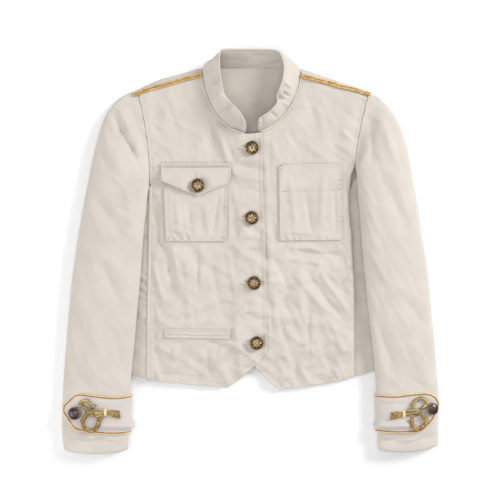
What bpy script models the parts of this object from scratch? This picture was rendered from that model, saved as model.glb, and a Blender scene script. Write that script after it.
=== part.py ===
"""Cropped stand-collar cotton jacket with gilt trim, laid flat on its back.

All sizes below are millimetres. The jacket lies with its neck toward +Y, its wearer's
right side toward -X, and its underside on z = 0. The solids are written in metres.
"""
import math

import bmesh
import bpy
import numpy as np
from mathutils import Vector
from mathutils.geometry import delaunay_2d_cdt

for old in list(bpy.data.objects):
    bpy.data.objects.remove(old, do_unlink=True)

# Cloth and make
CLOTH = 1.8            # doubled twill with its facing
COLLAR_CLOTH = 2.6     # stand collar with its stiffening
POCKET_CLOTH = 1.2
FLAP_CLOTH = 1.4
BAND_CLOTH = 1.6
SEAM_GAP = 0.3
LAY_GAP = 0.7          # air between two plies that lie on each other
BAND_GAP = 0.9          # the same under a cuff tab
LAP_LIFT = 2.8         # how far the top front stands over the under front
BODY_HEIGHT = 13.0     # top of the fronts over the table
RIM_TILT = 0.6         # how far a rolled rim's inner edge hangs below its outer one
RIM_BOTTOM = CLOTH + SEAM_GAP + RIM_TILT
SHOULDER_ROLL = 22.0   # depth of the roll where the fronts come down to the back
SIDE_ROLL = 9.0        # the same at the wearer's left side seam
LEFT_WRAP_HIGH = 9.3   # and at the side seam
RIGHT_WRAP_TOP = 5.0
FOLD_LEFT_X = -198.6
FOLD_RIGHT_X = 210.6
FOLD_RADIUS = 2.5
MESH_STEP = 16.5
RING_HALF = 11         # points on the top of a sleeve's ring, and on its underside
SLEEVE_RINGS = 19
# Moves the middle of the whole jacket onto the origin
MIDDLE_X = 1.0
MIDDLE_Y = -1.5
BUTTON_RADIUS = 11.4
CORD_RADIUS = 1.9

# Outline of the shoulders from the wearer's right sleeve to the left one
# x, y
SHOULDER_RIGHT = [
    (-244.8, 192.8), (-235.2, 215.2), (-220.8, 236.0), (-201.6, 253.6), (-182.1, 261.1), (-148.8, 276.6),
    (-113.6, 286.2), (-78.1, 295.5),
]
SHOULDER_LEFT = [
    (79.7, 294.6), (110.4, 284.6), (139.2, 275.0), (169.6, 263.8), (188.0, 256.8),
    (206.4, 248.2), (224.0, 228.0), (240.0, 200.8),
]

# Armhole seams: shoulder end, armpit end, sideways bow of the seam toward the body
ARM_TOP_RIGHT = (-182.1, 261.1)
ARM_PIT_RIGHT = (-161.6, 111.2)
ARM_TOP_LEFT = (188.0, 256.8)
ARM_PIT_LEFT = (165.4, 138.4)
ARM_BOW_RIGHT = 5.0
ARM_BOW_LEFT = 2.6

# Side edge of the wearer's left front, from hem to armpit
# y, x
LEFT_SIDE = [
    (-199.2, 166.4), (-60.0, 166.4), (4.0, 162.6), (32.8, 162.1),
    (47.2, 159.4), (72.8, 157.4), (90.4, 157.4), (114.4, 161.0),
    (125.6, 161.9), (138.4, 165.4),
]

# Largest folds of the fronts: start, end, half width, height (troughs are negative)
# x0, y0, x1, y1, half width, height
FRONT_FOLDS = [
    (-52.8, 199.2, -33.6, 128.8, 17.0, 2.4),
    (-70.4, 212.0, -57.6, 148.0, 16.0, -1.6),
    (-24.0, 138.4, 17.6, 130.4, 17.0, -2.0),
    (-24.0, 101.6, 11.2, 98.4, 18.0, -1.0),
    (-161.6, 20.0, -126.4, -63.2, 20.0, -2.0),
    (-104.0, 0.8, -86.4, -69.6, 18.0, 1.0),
    (-145.6, -76.0, -88.0, -104.8, 20.0, 1.2),
    (-97.6, -159.2, -88.0, -200.8, 20.0, -1.4),
    (-41.6, -156.0, -30.4, -200.8, 18.0, 1.2),
    (49.6, -2.4, 142.4, -8.8, 18.0, -1.6),
    (78.4, -52.0, 150.4, -148.0, 22.0, 1.6),
    (54.4, -76.0, 107.2, -165.6, 22.0, -1.5),
    (126.4, -28.0, 158.4, -76.0, 16.0, -1.0),
    (158.4, 228.0, 150.4, 151.2, 20.0, 1.6),
    (78.4, 228.0, 110.4, 180.0, 24.0, 1.0),
    (-153.6, 228.0, -145.6, 164.0, 18.0, -1.2),
    (40.0, -172.0, 52.8, -212.0, 18.0, -1.0),
    (113.6, -159.2, 126.4, -204.0, 20.0, -1.2),
]

# Places where the fronts stay plain because a pocket lies on them
# x low, x high, y low, y high
PLAIN_PLACES = [
    (-144.0, -32.0, 16.8, 143.2),
    (44.8, 147.2, 18.4, 141.6),
    (-140.8, -30.4, -140.0, -119.2),
]

# Fronts: outline, x, y and 1 where the outline turns a corner
RIGHT_FRONT_LOWER = [
    (-160.6, 108.6, 1), (-161.8, 60.0, 0), (-162.6, 4.0, 0), (-163.8, -76.0, 0),
    (-164.5, -148.0, 0), (-164.5, -205.6, 1), (-129.6, -208.2, 0), (-94.4, -211.4, 0),
    (-62.4, -214.6, 0), (-36.8, -216.8, 1), (-16.0, -199.8, 0), (4.8, -182.2, 1),
    (16.0, -171.0, 0), (25.1, -160.8, 1), (25.0, -76.0, 0), (22.7, 4.0, 0),
    (21.4, 52.0, 0), (19.7, 92.0, 0), (18.6, 148.0, 0), (18.2, 191.8, 1),
    (4.8, 190.6, 0), (-8.0, 190.2, 0), (-20.8, 194.1, 0), (-33.3, 199.5, 0),
    (-49.0, 212.6, 0), (-62.1, 229.0, 0), (-69.1, 244.5, 0), (-75.8, 263.2, 0),
    (-78.4, 279.2, 0), (-78.1, 294.9, 1),
]
LEFT_FRONT_NECK = [
    (79.7, 293.9, 1), (80.0, 280.8, 0), (77.6, 266.1, 0), (72.6, 251.7, 0),
    (65.6, 236.3, 0), (54.1, 220.2, 0), (41.9, 207.4, 0), (28.2, 198.2, 0),
    (12.8, 192.5, 0), (-1.6, 188.6, 0), (-14.4, 187.0, 1), (-14.4, 84.0, 0),
    (-14.4, -44.0, 0), (-14.4, -160.8, 1), (-4.8, -172.0, 0), (4.8, -181.6, 1),
    (25.6, -201.8, 0), (45.9, -220.3, 1), (84.8, -214.2, 0), (126.4, -208.2, 0),
    (166.4, -199.2, 1),
]

# Back: neckline and hem
BACK_NECK = [
    (-78.1, 295.5, 1), (-68.8, 294.9, 0), (-57.6, 297.0, 0), (-46.4, 297.6, 0),
    (-4.8, 297.6, 0), (33.6, 297.6, 0), (56.0, 297.0, 0), (67.2, 295.4, 0),
    (79.7, 294.6, 1),
]
# x, y along the hem from the wearer's left fold to the right one
BACK_HEM = [
    (211.2, -183.2), (166.4, -197.6), (110.4, -199.2), (54.4, -186.4),
    (4.8, -176.8), (-49.6, -184.8), (-105.6, -196.0), (-163.2, -202.4),
    (-192.0, -193.8), (-200.0, -191.2),
]

# Sleeves from armhole to cuff:
# inner x, inner y, outer x, outer y, height, bow toward the cuff, roundness of the top
RIGHT_SLEEVE = [
    (-162.2, 110.9, -182.7, 260.3, 14.0, 5.0, 7.0),
    (-162.6, 108.0, -202.2, 253.0, 18.5, 5.0, 4.5),
    (-163.4, 103.8, -220.8, 236.0, 23.0, 4.0, 3.2),
    (-164.5, 96.8, -236.8, 209.6, 26.5, 2.6, 2.6),
    (-165.8, 85.6, -248.6, 170.4, 29.0, 1.2, 2.4),
    (-167.4, 69.6, -257.6, 128.8, 30.0, 0.0, 2.3),
    (-169.6, 48.8, -266.2, 84.0, 31.0, 0.0, 2.3),
    (-172.8, 12.0, -276.2, 28.0, 31.0, 0.0, 2.3),
    (-176.0, -31.2, -284.8, -31.2, 31.0, 0.0, 2.3),
    (-180.8, -84.0, -291.2, -92.0, 30.0, 0.0, 2.3),
    (-185.6, -140.0, -296.6, -156.0, 28.5, 0.0, 2.4),
    (-191.0, -191.2, -300.3, -212.0, 27.0, 0.0, 2.5),
    (-193.6, -229.6, -302.1, -252.0, 26.0, -1.0, 2.6),
    (-195.2, -274.4, -302.1, -290.4, 25.0, -3.0, 2.7),
    (-196.8, -315.0, -299.2, -316.0, 24.0, -5.6, 2.8),
]
LEFT_SLEEVE = [
    (166.1, 137.8, 188.6, 255.8, 14.0, -2.6, 7.0),
    (167.0, 135.2, 206.4, 247.5, 18.5, -3.0, 4.5),
    (168.0, 131.0, 224.3, 227.2, 23.0, -3.0, 3.2),
    (169.1, 124.0, 240.6, 198.4, 26.5, -2.0, 2.6),
    (169.9, 111.2, 251.2, 160.8, 29.0, -1.0, 2.4),
    (171.0, 88.8, 258.6, 119.2, 30.0, 0.0, 2.3),
    (173.8, 60.0, 265.9, 79.2, 31.0, 0.0, 2.3),
    (176.6, 20.0, 273.0, 28.0, 31.0, 0.0, 2.3),
    (180.2, -21.6, 281.6, -24.8, 31.0, 0.0, 2.3),
    (185.6, -76.0, 287.5, -80.8, 30.0, 0.0, 2.3),
    (192.0, -132.0, 292.8, -136.8, 28.5, 0.0, 2.4),
    (198.4, -191.2, 297.1, -194.4, 27.0, 0.0, 2.5),
    (200.0, -229.6, 300.2, -232.8, 26.0, 1.0, 2.6),
    (201.6, -274.4, 299.8, -274.4, 25.0, 3.0, 2.7),
    (202.4, -314.4, 299.2, -308.8, 24.0, 6.4, 2.8),
]
# Largest folds on the sleeves, as on the fronts
SLEEVE_FOLDS = [
    (-220.8, 223.2, -208.0, 194.4, 13.0, -3.4),
    (-208.0, 194.4, -192.0, 168.8, 13.0, -4.4),
    (-192.0, 168.8, -171.2, 127.2, 12.0, -3.6),
    (-203.2, 224.8, -177.6, 164.0, 12.0, 2.4),
    (-235.2, 180.0, -206.4, 135.2, 18.0, 2.2),
    (-254.4, 100.0, -209.6, 32.8, 18.0, -2.4),
    (-196.8, 92.0, -180.8, 20.0, 14.0, 2.0),
    (-270.4, 4.0, -222.4, -15.2, 18.0, 1.8),
    (-235.2, -24.8, -203.2, -95.2, 18.0, -2.6),
    (-276.8, -76.0, -241.6, -148.0, 18.0, 2.0),
    (-222.4, -124.0, -200.0, -191.2, 15.0, -2.0),
    (-286.4, -172.0, -264.0, -210.4, 15.0, -1.6),
    (-267.2, -300.0, -212.8, -296.8, 13.0, -1.6),
    (206.4, 212.0, 232.0, 148.0, 16.0, 2.2),
    (190.4, 208.8, 193.6, 148.0, 14.0, -2.4),
    (212.8, 116.0, 244.8, 42.4, 18.0, -2.4),
    (184.0, 84.0, 200.0, 4.0, 14.0, 2.0),
    (203.2, -15.2, 241.6, -76.0, 18.0, 2.0),
    (238.4, -69.6, 276.8, -111.2, 16.0, -2.0),
    (203.2, -108.0, 225.6, -191.2, 16.0, -2.2),
    (257.6, -148.0, 283.2, -207.2, 15.0, 1.8),
    (212.8, -301.6, 286.4, -295.2, 13.0, -1.4),
]

# Stand collar, from the wearer's right front end round the back to the left one:
# foot x, foot y, middle x, middle y, top x, top y, foot z, top z
COLLAR = [
    (-9.3, 190.9, -8.0, 201.4, -9.3, 211.4, 13.6, 36.0),
    (-20.2, 194.6, -16.0, 208.8, -15.0, 221.0, 13.4, 38.0),
    (-32.8, 200.2, -27.2, 216.5, -23.8, 230.7, 13.0, 39.0),
    (-48.3, 213.3, -40.0, 228.0, -33.0, 240.5, 12.8, 39.0),
    (-61.4, 229.6, -51.8, 240.5, -41.3, 251.0, 12.6, 39.0),
    (-68.5, 244.8, -57.9, 255.2, -45.0, 264.8, 12.4, 38.5),
    (-75.2, 263.2, -64.6, 271.2, -48.0, 277.6, 12.2, 38.0),
    (-77.6, 279.2, -69.4, 287.5, -49.3, 290.4, 10.4, 37.0),
    (-76.2, 290.4, -71.4, 302.2, -49.8, 300.0, 4.6, 35.5),
    (-67.2, 295.7, -62.7, 308.6, -50.1, 309.6, 1.8, 34.0),
    (-57.6, 297.8, -55.7, 314.4, -49.8, 318.2, 1.6, 32.5),
    (-46.4, 298.4, -45.8, 312.8, -45.4, 324.6, 1.6, 31.0),
    (-25.6, 298.4, -25.3, 312.8, -24.0, 325.0, 1.6, 30.0),
    (-4.8, 298.4, -4.5, 312.8, -4.2, 325.0, 1.6, 30.0),
    (16.0, 298.4, 16.0, 312.8, 16.0, 324.8, 1.6, 30.0),
    (35.2, 298.4, 34.6, 312.8, 33.6, 324.2, 1.6, 31.0),
    (48.0, 298.1, 48.0, 313.8, 42.6, 321.8, 1.6, 32.5),
    (58.2, 297.4, 58.2, 310.2, 48.0, 314.7, 1.6, 33.5),
    (68.8, 296.0, 66.2, 304.8, 51.2, 305.4, 1.8, 34.5),
    (77.8, 291.4, 71.7, 299.0, 52.5, 294.6, 4.6, 36.0),
    (79.0, 280.8, 69.4, 287.8, 51.8, 284.6, 10.4, 37.0),
    (76.8, 266.4, 65.0, 271.8, 49.8, 273.4, 12.4, 38.0),
    (72.0, 252.0, 59.2, 256.8, 45.1, 261.1, 12.8, 36.5),
    (64.8, 236.8, 52.8, 244.6, 41.0, 250.4, 13.0, 35.0),
    (53.6, 220.8, 48.6, 230.6, 41.6, 239.5, 13.0, 37.0),
    (41.6, 208.0, 39.0, 218.4, 33.6, 228.2, 13.0, 38.0),
    (28.0, 198.9, 27.2, 209.8, 24.0, 220.6, 13.0, 38.0),
    (12.5, 193.1, 11.5, 203.4, 12.5, 213.3, 13.2, 36.0),
]

# Pockets: corners, x, y, 1
POCKET_BODY = [
    (-140.5, 125.6, 1), (-136.2, 17.8, 1), (-39.0, 17.8, 1), (-36.8, 125.6, 1),
]
POCKET_FLAP = [
    (-144.3, 142.9, 1), (-143.7, 114.4, 1), (-85.1, 89.8, 1), (-35.8, 110.2, 1),
    (-32.0, 123.0, 1), (-31.7, 143.2, 1),
]
PATCH_POCKET = [
    (44.8, 140.6, 1), (45.6, 18.7, 1), (146.7, 20.0, 1), (145.6, 142.6, 1),
]
WELT = [
    (-138.9, -120.8, 1), (-138.9, -137.4, 1), (-32.6, -139.0, 1), (-32.6, -122.4, 1),
]

# Buttons on the fronts: name, x, y, height of the seat over the fronts
FRONT_BUTTONS = [
    ("button_1", 1.6, 167.2, LAP_LIFT),
    ("button_2", 1.0, 55.2, LAP_LIFT),
    ("button_3", 4.8, -48.8, LAP_LIFT),
    ("button_4", 9.1, -144.8, LAP_LIFT),
    ("button_flap", -85.1, 107.0, POCKET_CLOTH + FLAP_CLOTH + 2.0 * LAY_GAP),
]

# Cuff tabs: share of the sleeve's width from its inner edge, y of the upper edge and
# y of the lower edge
RIGHT_BAND = [
    (0.00, -229.6, -285.6), (0.19, -232.2, -287.2), (0.47, -230.4, -285.9),
    (0.70, -227.0, -282.7), (0.80, -228.3, -279.2), (0.86, -234.9, -270.4),
    (0.92, -241.1, -260.3), (0.955, -246.2, -254.6),
]
LEFT_BAND = [
    (0.00, -228.5, -283.2), (0.30, -230.2, -285.3), (0.50, -227.8, -284.5),
    (0.69, -226.2, -283.0), (0.81, -226.1, -273.1), (0.89, -229.3, -263.5),
    (0.935, -233.8, -253.6), (0.965, -239.2, -245.6),
]
# degrees round the sleeve's inner edge: where a tab starts below it, then over it
BAND_TURN = (-13.0, -6.0, -1.5, 0.0, 7.0, 15.0, 23.0, 32.0, 42.0, 53.0)

# Cuff ornaments: part, then centre line x, y, x, y and half width in millimetres
RIGHT_KNOT = {
    "button": (-280.6, -256.2, 10.6),
    "upper": (-261.1, -243.0, 7.4, 1.7),
    "lower": (-255.4, -271.2, 10.4, 2.0),
    "bundle": (-267.8, -254.9, -236.2, -253.6, 5.6),
    "binding": (-234.6, -253.9, -229.8, -254.2, 6.4),
    "tassel": (-228.5, -254.6, -210.2, -258.1, 6.8),
}
LEFT_KNOT = {
    "button": (287.4, -249.1, 10.2),
    "upper": (267.2, -238.9, 7.0, 1.7),
    "lower": (265.9, -269.6, 10.0, 2.0),
    "bundle": (274.6, -252.6, 247.7, -256.2, 5.6),
    "binding": (246.1, -256.5, 241.3, -257.1, 6.4),
    "tassel": (240.0, -257.4, 223.4, -259.7, 6.6),
}

# Shoulder cords: x, y from the neck to the sleeve
CORD_LINE_RIGHT = [
    (-79.4, 283.7), (-100.8, 277.9), (-126.4, 270.9), (-148.8, 264.5), (-169.6, 258.4), (-186.2, 253.0),
]
CORD_LINE_LEFT = [
    (81.0, 282.4), (102.4, 276.6), (126.4, 270.2), (150.4, 263.8), (171.2, 258.1), (189.8, 252.3),
]


def smooth(t):
    t = min(max(t, 0.0), 1.0)
    return t * t * (3.0 - 2.0 * t)


def quarter(t):
    """A quarter round: upright at 0, level at 1."""
    t = min(max(t, 0.0), 1.0)
    return math.sqrt(max(0.0, 1.0 - (1.0 - t) ** 2))


def along(table, value, column=1):
    """Straight-line reading of a table whose first column rises."""
    return float(np.interp(value, [row[0] for row in table], [row[column] for row in table]))


def fold_height(x, y, folds):
    """Sum of the soft troughs and ridges at a point."""
    total = 0.0
    for x0, y0, x1, y1, half, height in folds:
        dx = x1 - x0
        dy = y1 - y0
        t = ((x - x0) * dx + (y - y0) * dy) / (dx * dx + dy * dy)
        t = min(max(t, 0.0), 1.0)
        away = math.hypot(x - x0 - t * dx, y - y0 - t * dy) / half
        if away < 1.0:
            total += height * 0.5 * (1.0 + math.cos(math.pi * away))
    return total


def plainness(x, y):
    """1 over the pockets and their near surroundings, 0 elsewhere."""
    value = 0.0
    for x_low, x_high, y_low, y_high in PLAIN_PLACES:
        out = max(x_low - x, x - x_high, y_low - y, y - y_high, 0.0)
        value = max(value, 1.0 - smooth((out - 4.0) / 14.0))
    return value


SHOULDER = SHOULDER_RIGHT + SHOULDER_LEFT
LEFT_SIDE_UP = sorted(LEFT_SIDE)


def front_z(x, y):
    """Top of the fronts where nothing lies under them but the back."""
    top = BODY_HEIGHT + 1.2 * math.exp(-((x - 4.0) / 110.0) ** 2 - ((y - 60.0) / 120.0) ** 2)
    top -= 2.2 * (1.0 - smooth((y + 215.0) / 80.0))
    top += (1.0 - plainness(x, y)) * fold_height(x, y, FRONT_FOLDS)
    low_side = (1.0 - smooth((x + 164.0) / 34.0)) * (1.0 - smooth((y - 70.0) / 50.0))
    top += (LEFT_WRAP_HIGH - top) * low_side
    down = along(SHOULDER, x) - y
    top = RIM_BOTTOM + (top - RIM_BOTTOM) * quarter(down / SHOULDER_ROLL)
    rolled = smooth((ARM_PIT_LEFT[1] - 2.0 - y) / 30.0) if x > 0.0 else 0.0
    if rolled > 0.0:
        rim = RIGHT_WRAP_TOP + SEAM_GAP + RIM_TILT
        edge = along(LEFT_SIDE_UP, y)
        turned = rim + (top - rim) * quarter((edge - x) / SIDE_ROLL)
        top += (turned - top) * rolled
    return top


def top_front_z(x, y):
    """Top of the wearer's right front, which lies over the left one."""
    return front_z(x, y) + LAP_LIFT * smooth((x + 33.5) / 18.0)


def make_material(name, colour, metal, rough):
    material = bpy.data.materials.new(name)
    material.use_nodes = True
    shader = material.node_tree.nodes["Principled BSDF"]
    shader.inputs["Base Color"].default_value = (*colour, 1.0)
    shader.inputs["Metallic"].default_value = metal
    shader.inputs["Roughness"].default_value = rough
    return material


TWILL_COLOUR = (0.72, 0.67, 0.60)


def make_object(name, points, faces, colour=TWILL_COLOUR, metal=0.0, rough=0.85):
    """One closed body from points in millimetres, its faces turned outward."""
    mesh = bpy.data.meshes.new(name)
    placed = [((x + MIDDLE_X) / 1000.0, (y + MIDDLE_Y) / 1000.0, z / 1000.0) for x, y, z in points]
    mesh.from_pydata(placed, [], faces)
    work = bmesh.new()
    work.from_mesh(mesh)
    bmesh.ops.recalc_face_normals(work, faces=work.faces)
    bmesh.ops.triangulate(work, faces=[face for face in work.faces if len(face.verts) > 4])
    work.to_mesh(mesh)
    work.free()
    mesh.shade_smooth()
    body = bpy.data.objects.new(name, mesh)
    bpy.context.scene.collection.objects.link(body)
    body.data.materials.append(make_material(name + "_finish", colour, metal, rough))
    return body


def outline_points(rows, step):
    """Smooth curve through the rows, with its corners kept, at about the step given."""
    count = len(rows)
    points = []
    for i in range(count):
        x0, y0, corner0 = rows[i]
        x1, y1, corner1 = rows[(i + 1) % count]
        before = rows[(i - 1) % count]
        after = rows[(i + 2) % count]
        tangent0 = (x1 - x0, y1 - y0) if corner0 else ((x1 - before[0]) / 2, (y1 - before[1]) / 2)
        tangent1 = (x1 - x0, y1 - y0) if corner1 else ((after[0] - x0) / 2, (after[1] - y0) / 2)
        long = math.hypot(x1 - x0, y1 - y0)
        scale0 = min(1.0, long / max(math.hypot(*tangent0), 1e-6))
        scale1 = min(1.0, long / max(math.hypot(*tangent1), 1e-6))
        parts = max(1, round(long / step))
        for k in range(parts):
            t = k / parts
            a = 2 * t ** 3 - 3 * t ** 2 + 1
            b = (t ** 3 - 2 * t ** 2 + t) * scale0
            c = -2 * t ** 3 + 3 * t ** 2
            d = (t ** 3 - t ** 2) * scale1
            points.append((
                a * x0 + b * tangent0[0] + c * x1 + d * tangent1[0],
                a * y0 + b * tangent0[1] + c * y1 + d * tangent1[1],
            ))
    return points


def inside(x, y, ring):
    """Whether a point lies in a closed outline, and how far it is from it."""
    odd = False
    near = 1e9
    for i, (x0, y0) in enumerate(ring):
        x1, y1 = ring[(i + 1) % len(ring)]
        if (y0 > y) != (y1 > y) and x < x0 + (y - y0) * (x1 - x0) / (y1 - y0):
            odd = not odd
        dx = x1 - x0
        dy = y1 - y0
        t = min(max(((x - x0) * dx + (y - y0) * dy) / (dx * dx + dy * dy), 0.0), 1.0)
        near = min(near, math.hypot(x - x0 - t * dx, y - y0 - t * dy))
    return odd, near


def panel(name, outline, surface, thickness, step=MESH_STEP, extra=(), lift=0.0, bare=None):
    """A cut piece of cloth laid on a surface: surface(s, t) gives the face's point."""
    spots = [Vector(point) for point in outline]
    for s, t in extra:
        odd, near = inside(s, t, outline)
        if odd and near > 0.7:
            spots.append(Vector((s, t)))
    fixed = [tuple(spot) for spot in spots[len(outline):]]
    low_s = min(point[0] for point in outline)
    high_s = max(point[0] for point in outline)
    low_t = min(point[1] for point in outline)
    high_t = max(point[1] for point in outline)
    for i in range(math.floor(low_s / step), math.ceil(high_s / step) + 1):
        for j in range(math.floor(low_t / step), math.ceil(high_t / step) + 1):
            s = (i + 0.5 * (j % 2)) * step
            t = j * step
            odd, near = inside(s, t, outline)
            if not odd or near < 0.42 * step or (bare and bare(s, t)):
                continue
            if fixed and min((s - p) ** 2 + (t - q) ** 2 for p, q in fixed) < (0.4 * step) ** 2:
                continue
            spots.append(Vector((s, t)))
    loop = [(i, (i + 1) % len(outline)) for i in range(len(outline))]
    flat, edges, triangles = delaunay_2d_cdt(spots, loop, [], 1, 1e-5)[:3]
    rim = {}
    for triangle in triangles:
        for k in range(3):
            a, b = triangle[k], triangle[(k + 1) % 3]
            rim[(a, b)] = rim.get((a, b), 0) + 1
    shell = []
    inner = []
    for spot in flat:
        s, t = spot
        point = np.array(surface(s, t))
        ds = np.array(surface(s + 0.25, t)) - np.array(surface(s - 0.25, t))
        dt = np.array(surface(s, t + 0.25)) - np.array(surface(s, t - 0.25))
        normal = np.cross(ds, dt)
        normal /= np.linalg.norm(normal)
        shell.append(point + normal * (lift + thickness))
        inner.append(point + normal * lift)
    count = len(flat)
    faces = [tuple(triangle) for triangle in triangles]
    faces += [tuple(count + k for k in reversed(triangle)) for triangle in triangles]
    for a, b in rim:
        if (b, a) not in rim:
            faces.append((b, a, count + a, count + b))
    return make_object(name, shell + inner, faces)


def armhole(top, pit, bow, steps, gap):
    """Points of an armhole seam from the shoulder to the armpit, moved toward the body."""
    points = []
    dx = pit[0] - top[0]
    dy = pit[1] - top[1]
    long = math.hypot(dx, dy)
    side = 1.0 if top[0] < 0.0 else -1.0
    for k in range(steps + 1):
        t = k / steps
        out = bow * 4.0 * t * (1.0 - t) + gap
        points.append((top[0] + t * dx - side * out * dy / long,
                       top[1] + t * dy + side * out * dx / long))
    return points


def rows_below(line, depths, step):
    """Rows of points at set depths below a line of x, y rows, for the rolled edges."""
    points = []
    low = line[0][0]
    high = line[-1][0]
    for depth in depths:
        count = max(2, round((high - low) / step))
        for k in range(count + 1):
            x = low + (high - low) * k / count
            points.append((x, along(line, x) - depth))
    return points


ARM_RIGHT = armhole(ARM_TOP_RIGHT, ARM_PIT_RIGHT, ARM_BOW_RIGHT, 10, SEAM_GAP)
ARM_LEFT = armhole(ARM_TOP_LEFT, ARM_PIT_LEFT, ARM_BOW_LEFT, 8, SEAM_GAP)

# Wearer's right front
shoulder_rows = [(x, y, 1) for x, y in SHOULDER_RIGHT[5:-1]]
shoulder_rows.reverse()
arm_rows = [(x, y, 1 if k in (0, 10) else 0) for k, (x, y) in enumerate(ARM_RIGHT)]
right_outline = outline_points(RIGHT_FRONT_LOWER + shoulder_rows + arm_rows, MESH_STEP)
right_extra = rows_below(SHOULDER_RIGHT[4:], (1.6, 6.5, 13.0), MESH_STEP)
right_front = panel(
    "front_right", right_outline, lambda x, y: (x, y, top_front_z(x, y)), CLOTH,
    extra=right_extra, lift=-CLOTH)

# Wearer's left front
arm_rows = [(x, y, 1 if k in (0, 8) else 0) for k, (x, y) in enumerate(ARM_LEFT)]
arm_rows.reverse()
side_rows = [(x, y, 1) for y, x in LEFT_SIDE[1:-1]]
shoulder_rows = [(x, y, 1) for x, y in SHOULDER_LEFT[1:4]]
shoulder_rows.reverse()
left_outline = outline_points(LEFT_FRONT_NECK + side_rows + arm_rows + shoulder_rows, MESH_STEP)
left_extra = rows_below(SHOULDER_LEFT[:5], (1.6, 6.5, 13.0), MESH_STEP)
for depth in (0.9, 4.0):
    for k in range(26):
        y = LEFT_SIDE[0][0] + 4.0 + k * 12.6
        left_extra.append((along(LEFT_SIDE_UP, y) - depth, y))
left_front = panel(
    "front_left", left_outline, lambda x, y: (x, y, front_z(x, y)), CLOTH,
    extra=left_extra, lift=-CLOTH)


# Back: s runs across the cloth, over the folds and up to the side seams
HALF_TURN = math.pi * FOLD_RADIUS
LEFT_CENTRE = FOLD_LEFT_X + FOLD_RADIUS
RIGHT_CENTRE = FOLD_RIGHT_X - FOLD_RADIUS


def back_surface(s, t):
    """Outer face of the back for a place on the flat cloth."""
    if s < LEFT_CENTRE:
        past = LEFT_CENTRE - s
        if past < HALF_TURN:
            angle = past / FOLD_RADIUS
            return (LEFT_CENTRE - FOLD_RADIUS * math.sin(angle), t,
                    FOLD_RADIUS * (1.0 - math.cos(angle)))
        over = past - HALF_TURN
        rise = (LEFT_WRAP_HIGH - 2.0 * FOLD_RADIUS) * smooth(over / 33.0)
        return (LEFT_CENTRE + over, t, 2.0 * FOLD_RADIUS + rise)
    if s > RIGHT_CENTRE:
        past = s - RIGHT_CENTRE
        if past < HALF_TURN:
            angle = past / FOLD_RADIUS
            return (RIGHT_CENTRE + FOLD_RADIUS * math.sin(angle), t,
                    FOLD_RADIUS * (1.0 - math.cos(angle)))
        return (RIGHT_CENTRE - (past - HALF_TURN), t, RIGHT_WRAP_TOP)
    return (s, t, 0.0)


def wrap_s_right(x):
    """Cloth place of a point on top of the wrap at the wearer's right."""
    return LEFT_CENTRE - HALF_TURN - (x - LEFT_CENTRE)


def wrap_s_left(x):
    return RIGHT_CENTRE + HALF_TURN + (RIGHT_CENTRE - x)


back_rows = list(BACK_NECK)
back_rows += [(x, y, 0) for x, y in SHOULDER_LEFT[1:4]]
back_rows += [(x, y, 1 if k in (0, 8) else 0) for k, (x, y) in enumerate(ARM_LEFT)]
back_rows += [
    (RIGHT_CENTRE, 95.2, 1), (RIGHT_CENTRE + HALF_TURN, 95.2, 1),
    (wrap_s_left(169.6), 122.4, 1),
]
for y, x in reversed(LEFT_SIDE[:-3]):
    back_rows.append((wrap_s_left(x - 5.0), y, 0))
back_rows[-1] = (wrap_s_left(161.6), -199.2, 1)
back_rows += [
    (wrap_s_left(184.0), -194.4, 0), (RIGHT_CENTRE + HALF_TURN, -184.8, 1),
    (RIGHT_CENTRE, -184.8, 1),
]
back_rows += [(x, y, 0) for x, y in BACK_HEM[1:-2]]
back_rows += [
    (LEFT_CENTRE, -192.2, 1), (LEFT_CENTRE - HALF_TURN, -192.2, 1),
    (wrap_s_right(-185.6), -196.6, 0), (wrap_s_right(-164.8), -203.4, 1),
    (wrap_s_right(-165.0), -148.0, 0), (wrap_s_right(-164.3), -76.0, 0),
    (wrap_s_right(-163.0), 4.0, 0), (wrap_s_right(-162.2), 60.0, 0),
    (wrap_s_right(-161.9), 93.6, 1), (LEFT_CENTRE - HALF_TURN, 76.0, 1),
    (LEFT_CENTRE, 76.0, 1),
]
arm_rows = [(x, y, 1 if k in (0, 10) else 0) for k, (x, y) in enumerate(ARM_RIGHT)]
arm_rows.reverse()
back_rows += arm_rows
back_rows += [(x, y, 0) for x, y in SHOULDER_RIGHT[5:-1]]
back_outline = outline_points(back_rows, 20.0)
back_extra = []
for turn in range(6):
    for k in range(10):
        y = -176.0 + k * 27.0
        back_extra.append((LEFT_CENTRE - HALF_TURN * turn / 5.0, y))
        back_extra.append((RIGHT_CENTRE + HALF_TURN * turn / 5.0, y))


def at_fold(s, t):
    """Whether a place on the back is on or beside one of its two folds."""
    beside = 7.0
    return (LEFT_CENTRE - HALF_TURN - beside < s < LEFT_CENTRE + beside
            or RIGHT_CENTRE - beside < s < RIGHT_CENTRE + HALF_TURN + beside)


back = panel("back", back_outline, back_surface, CLOTH, step=26.0, extra=back_extra, bare=at_fold)



def under_sleeve(x, y):
    """Height that a sleeve's underside has to clear."""
    if x < 0.0:
        held = smooth((x - FOLD_LEFT_X + 15.0) / 13.0)
        past = min(max(x - LEFT_CENTRE, 0.0) / 33.0, 1.0)
        wrap = 2.0 * FOLD_RADIUS + (LEFT_WRAP_HIGH - 2.0 * FOLD_RADIUS) * smooth(past)
        along_y = smooth((109.6 - y) / 12.0) * smooth((y - -236.0) / 16.0)
    else:
        held = smooth((FOLD_RIGHT_X + 15.0 - x) / 13.0)
        wrap = RIGHT_WRAP_TOP
        along_y = smooth((138.4 - y) / 9.0) * smooth((y - -236.0) / 16.0)
    return (wrap + LAY_GAP) * held * along_y


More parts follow.
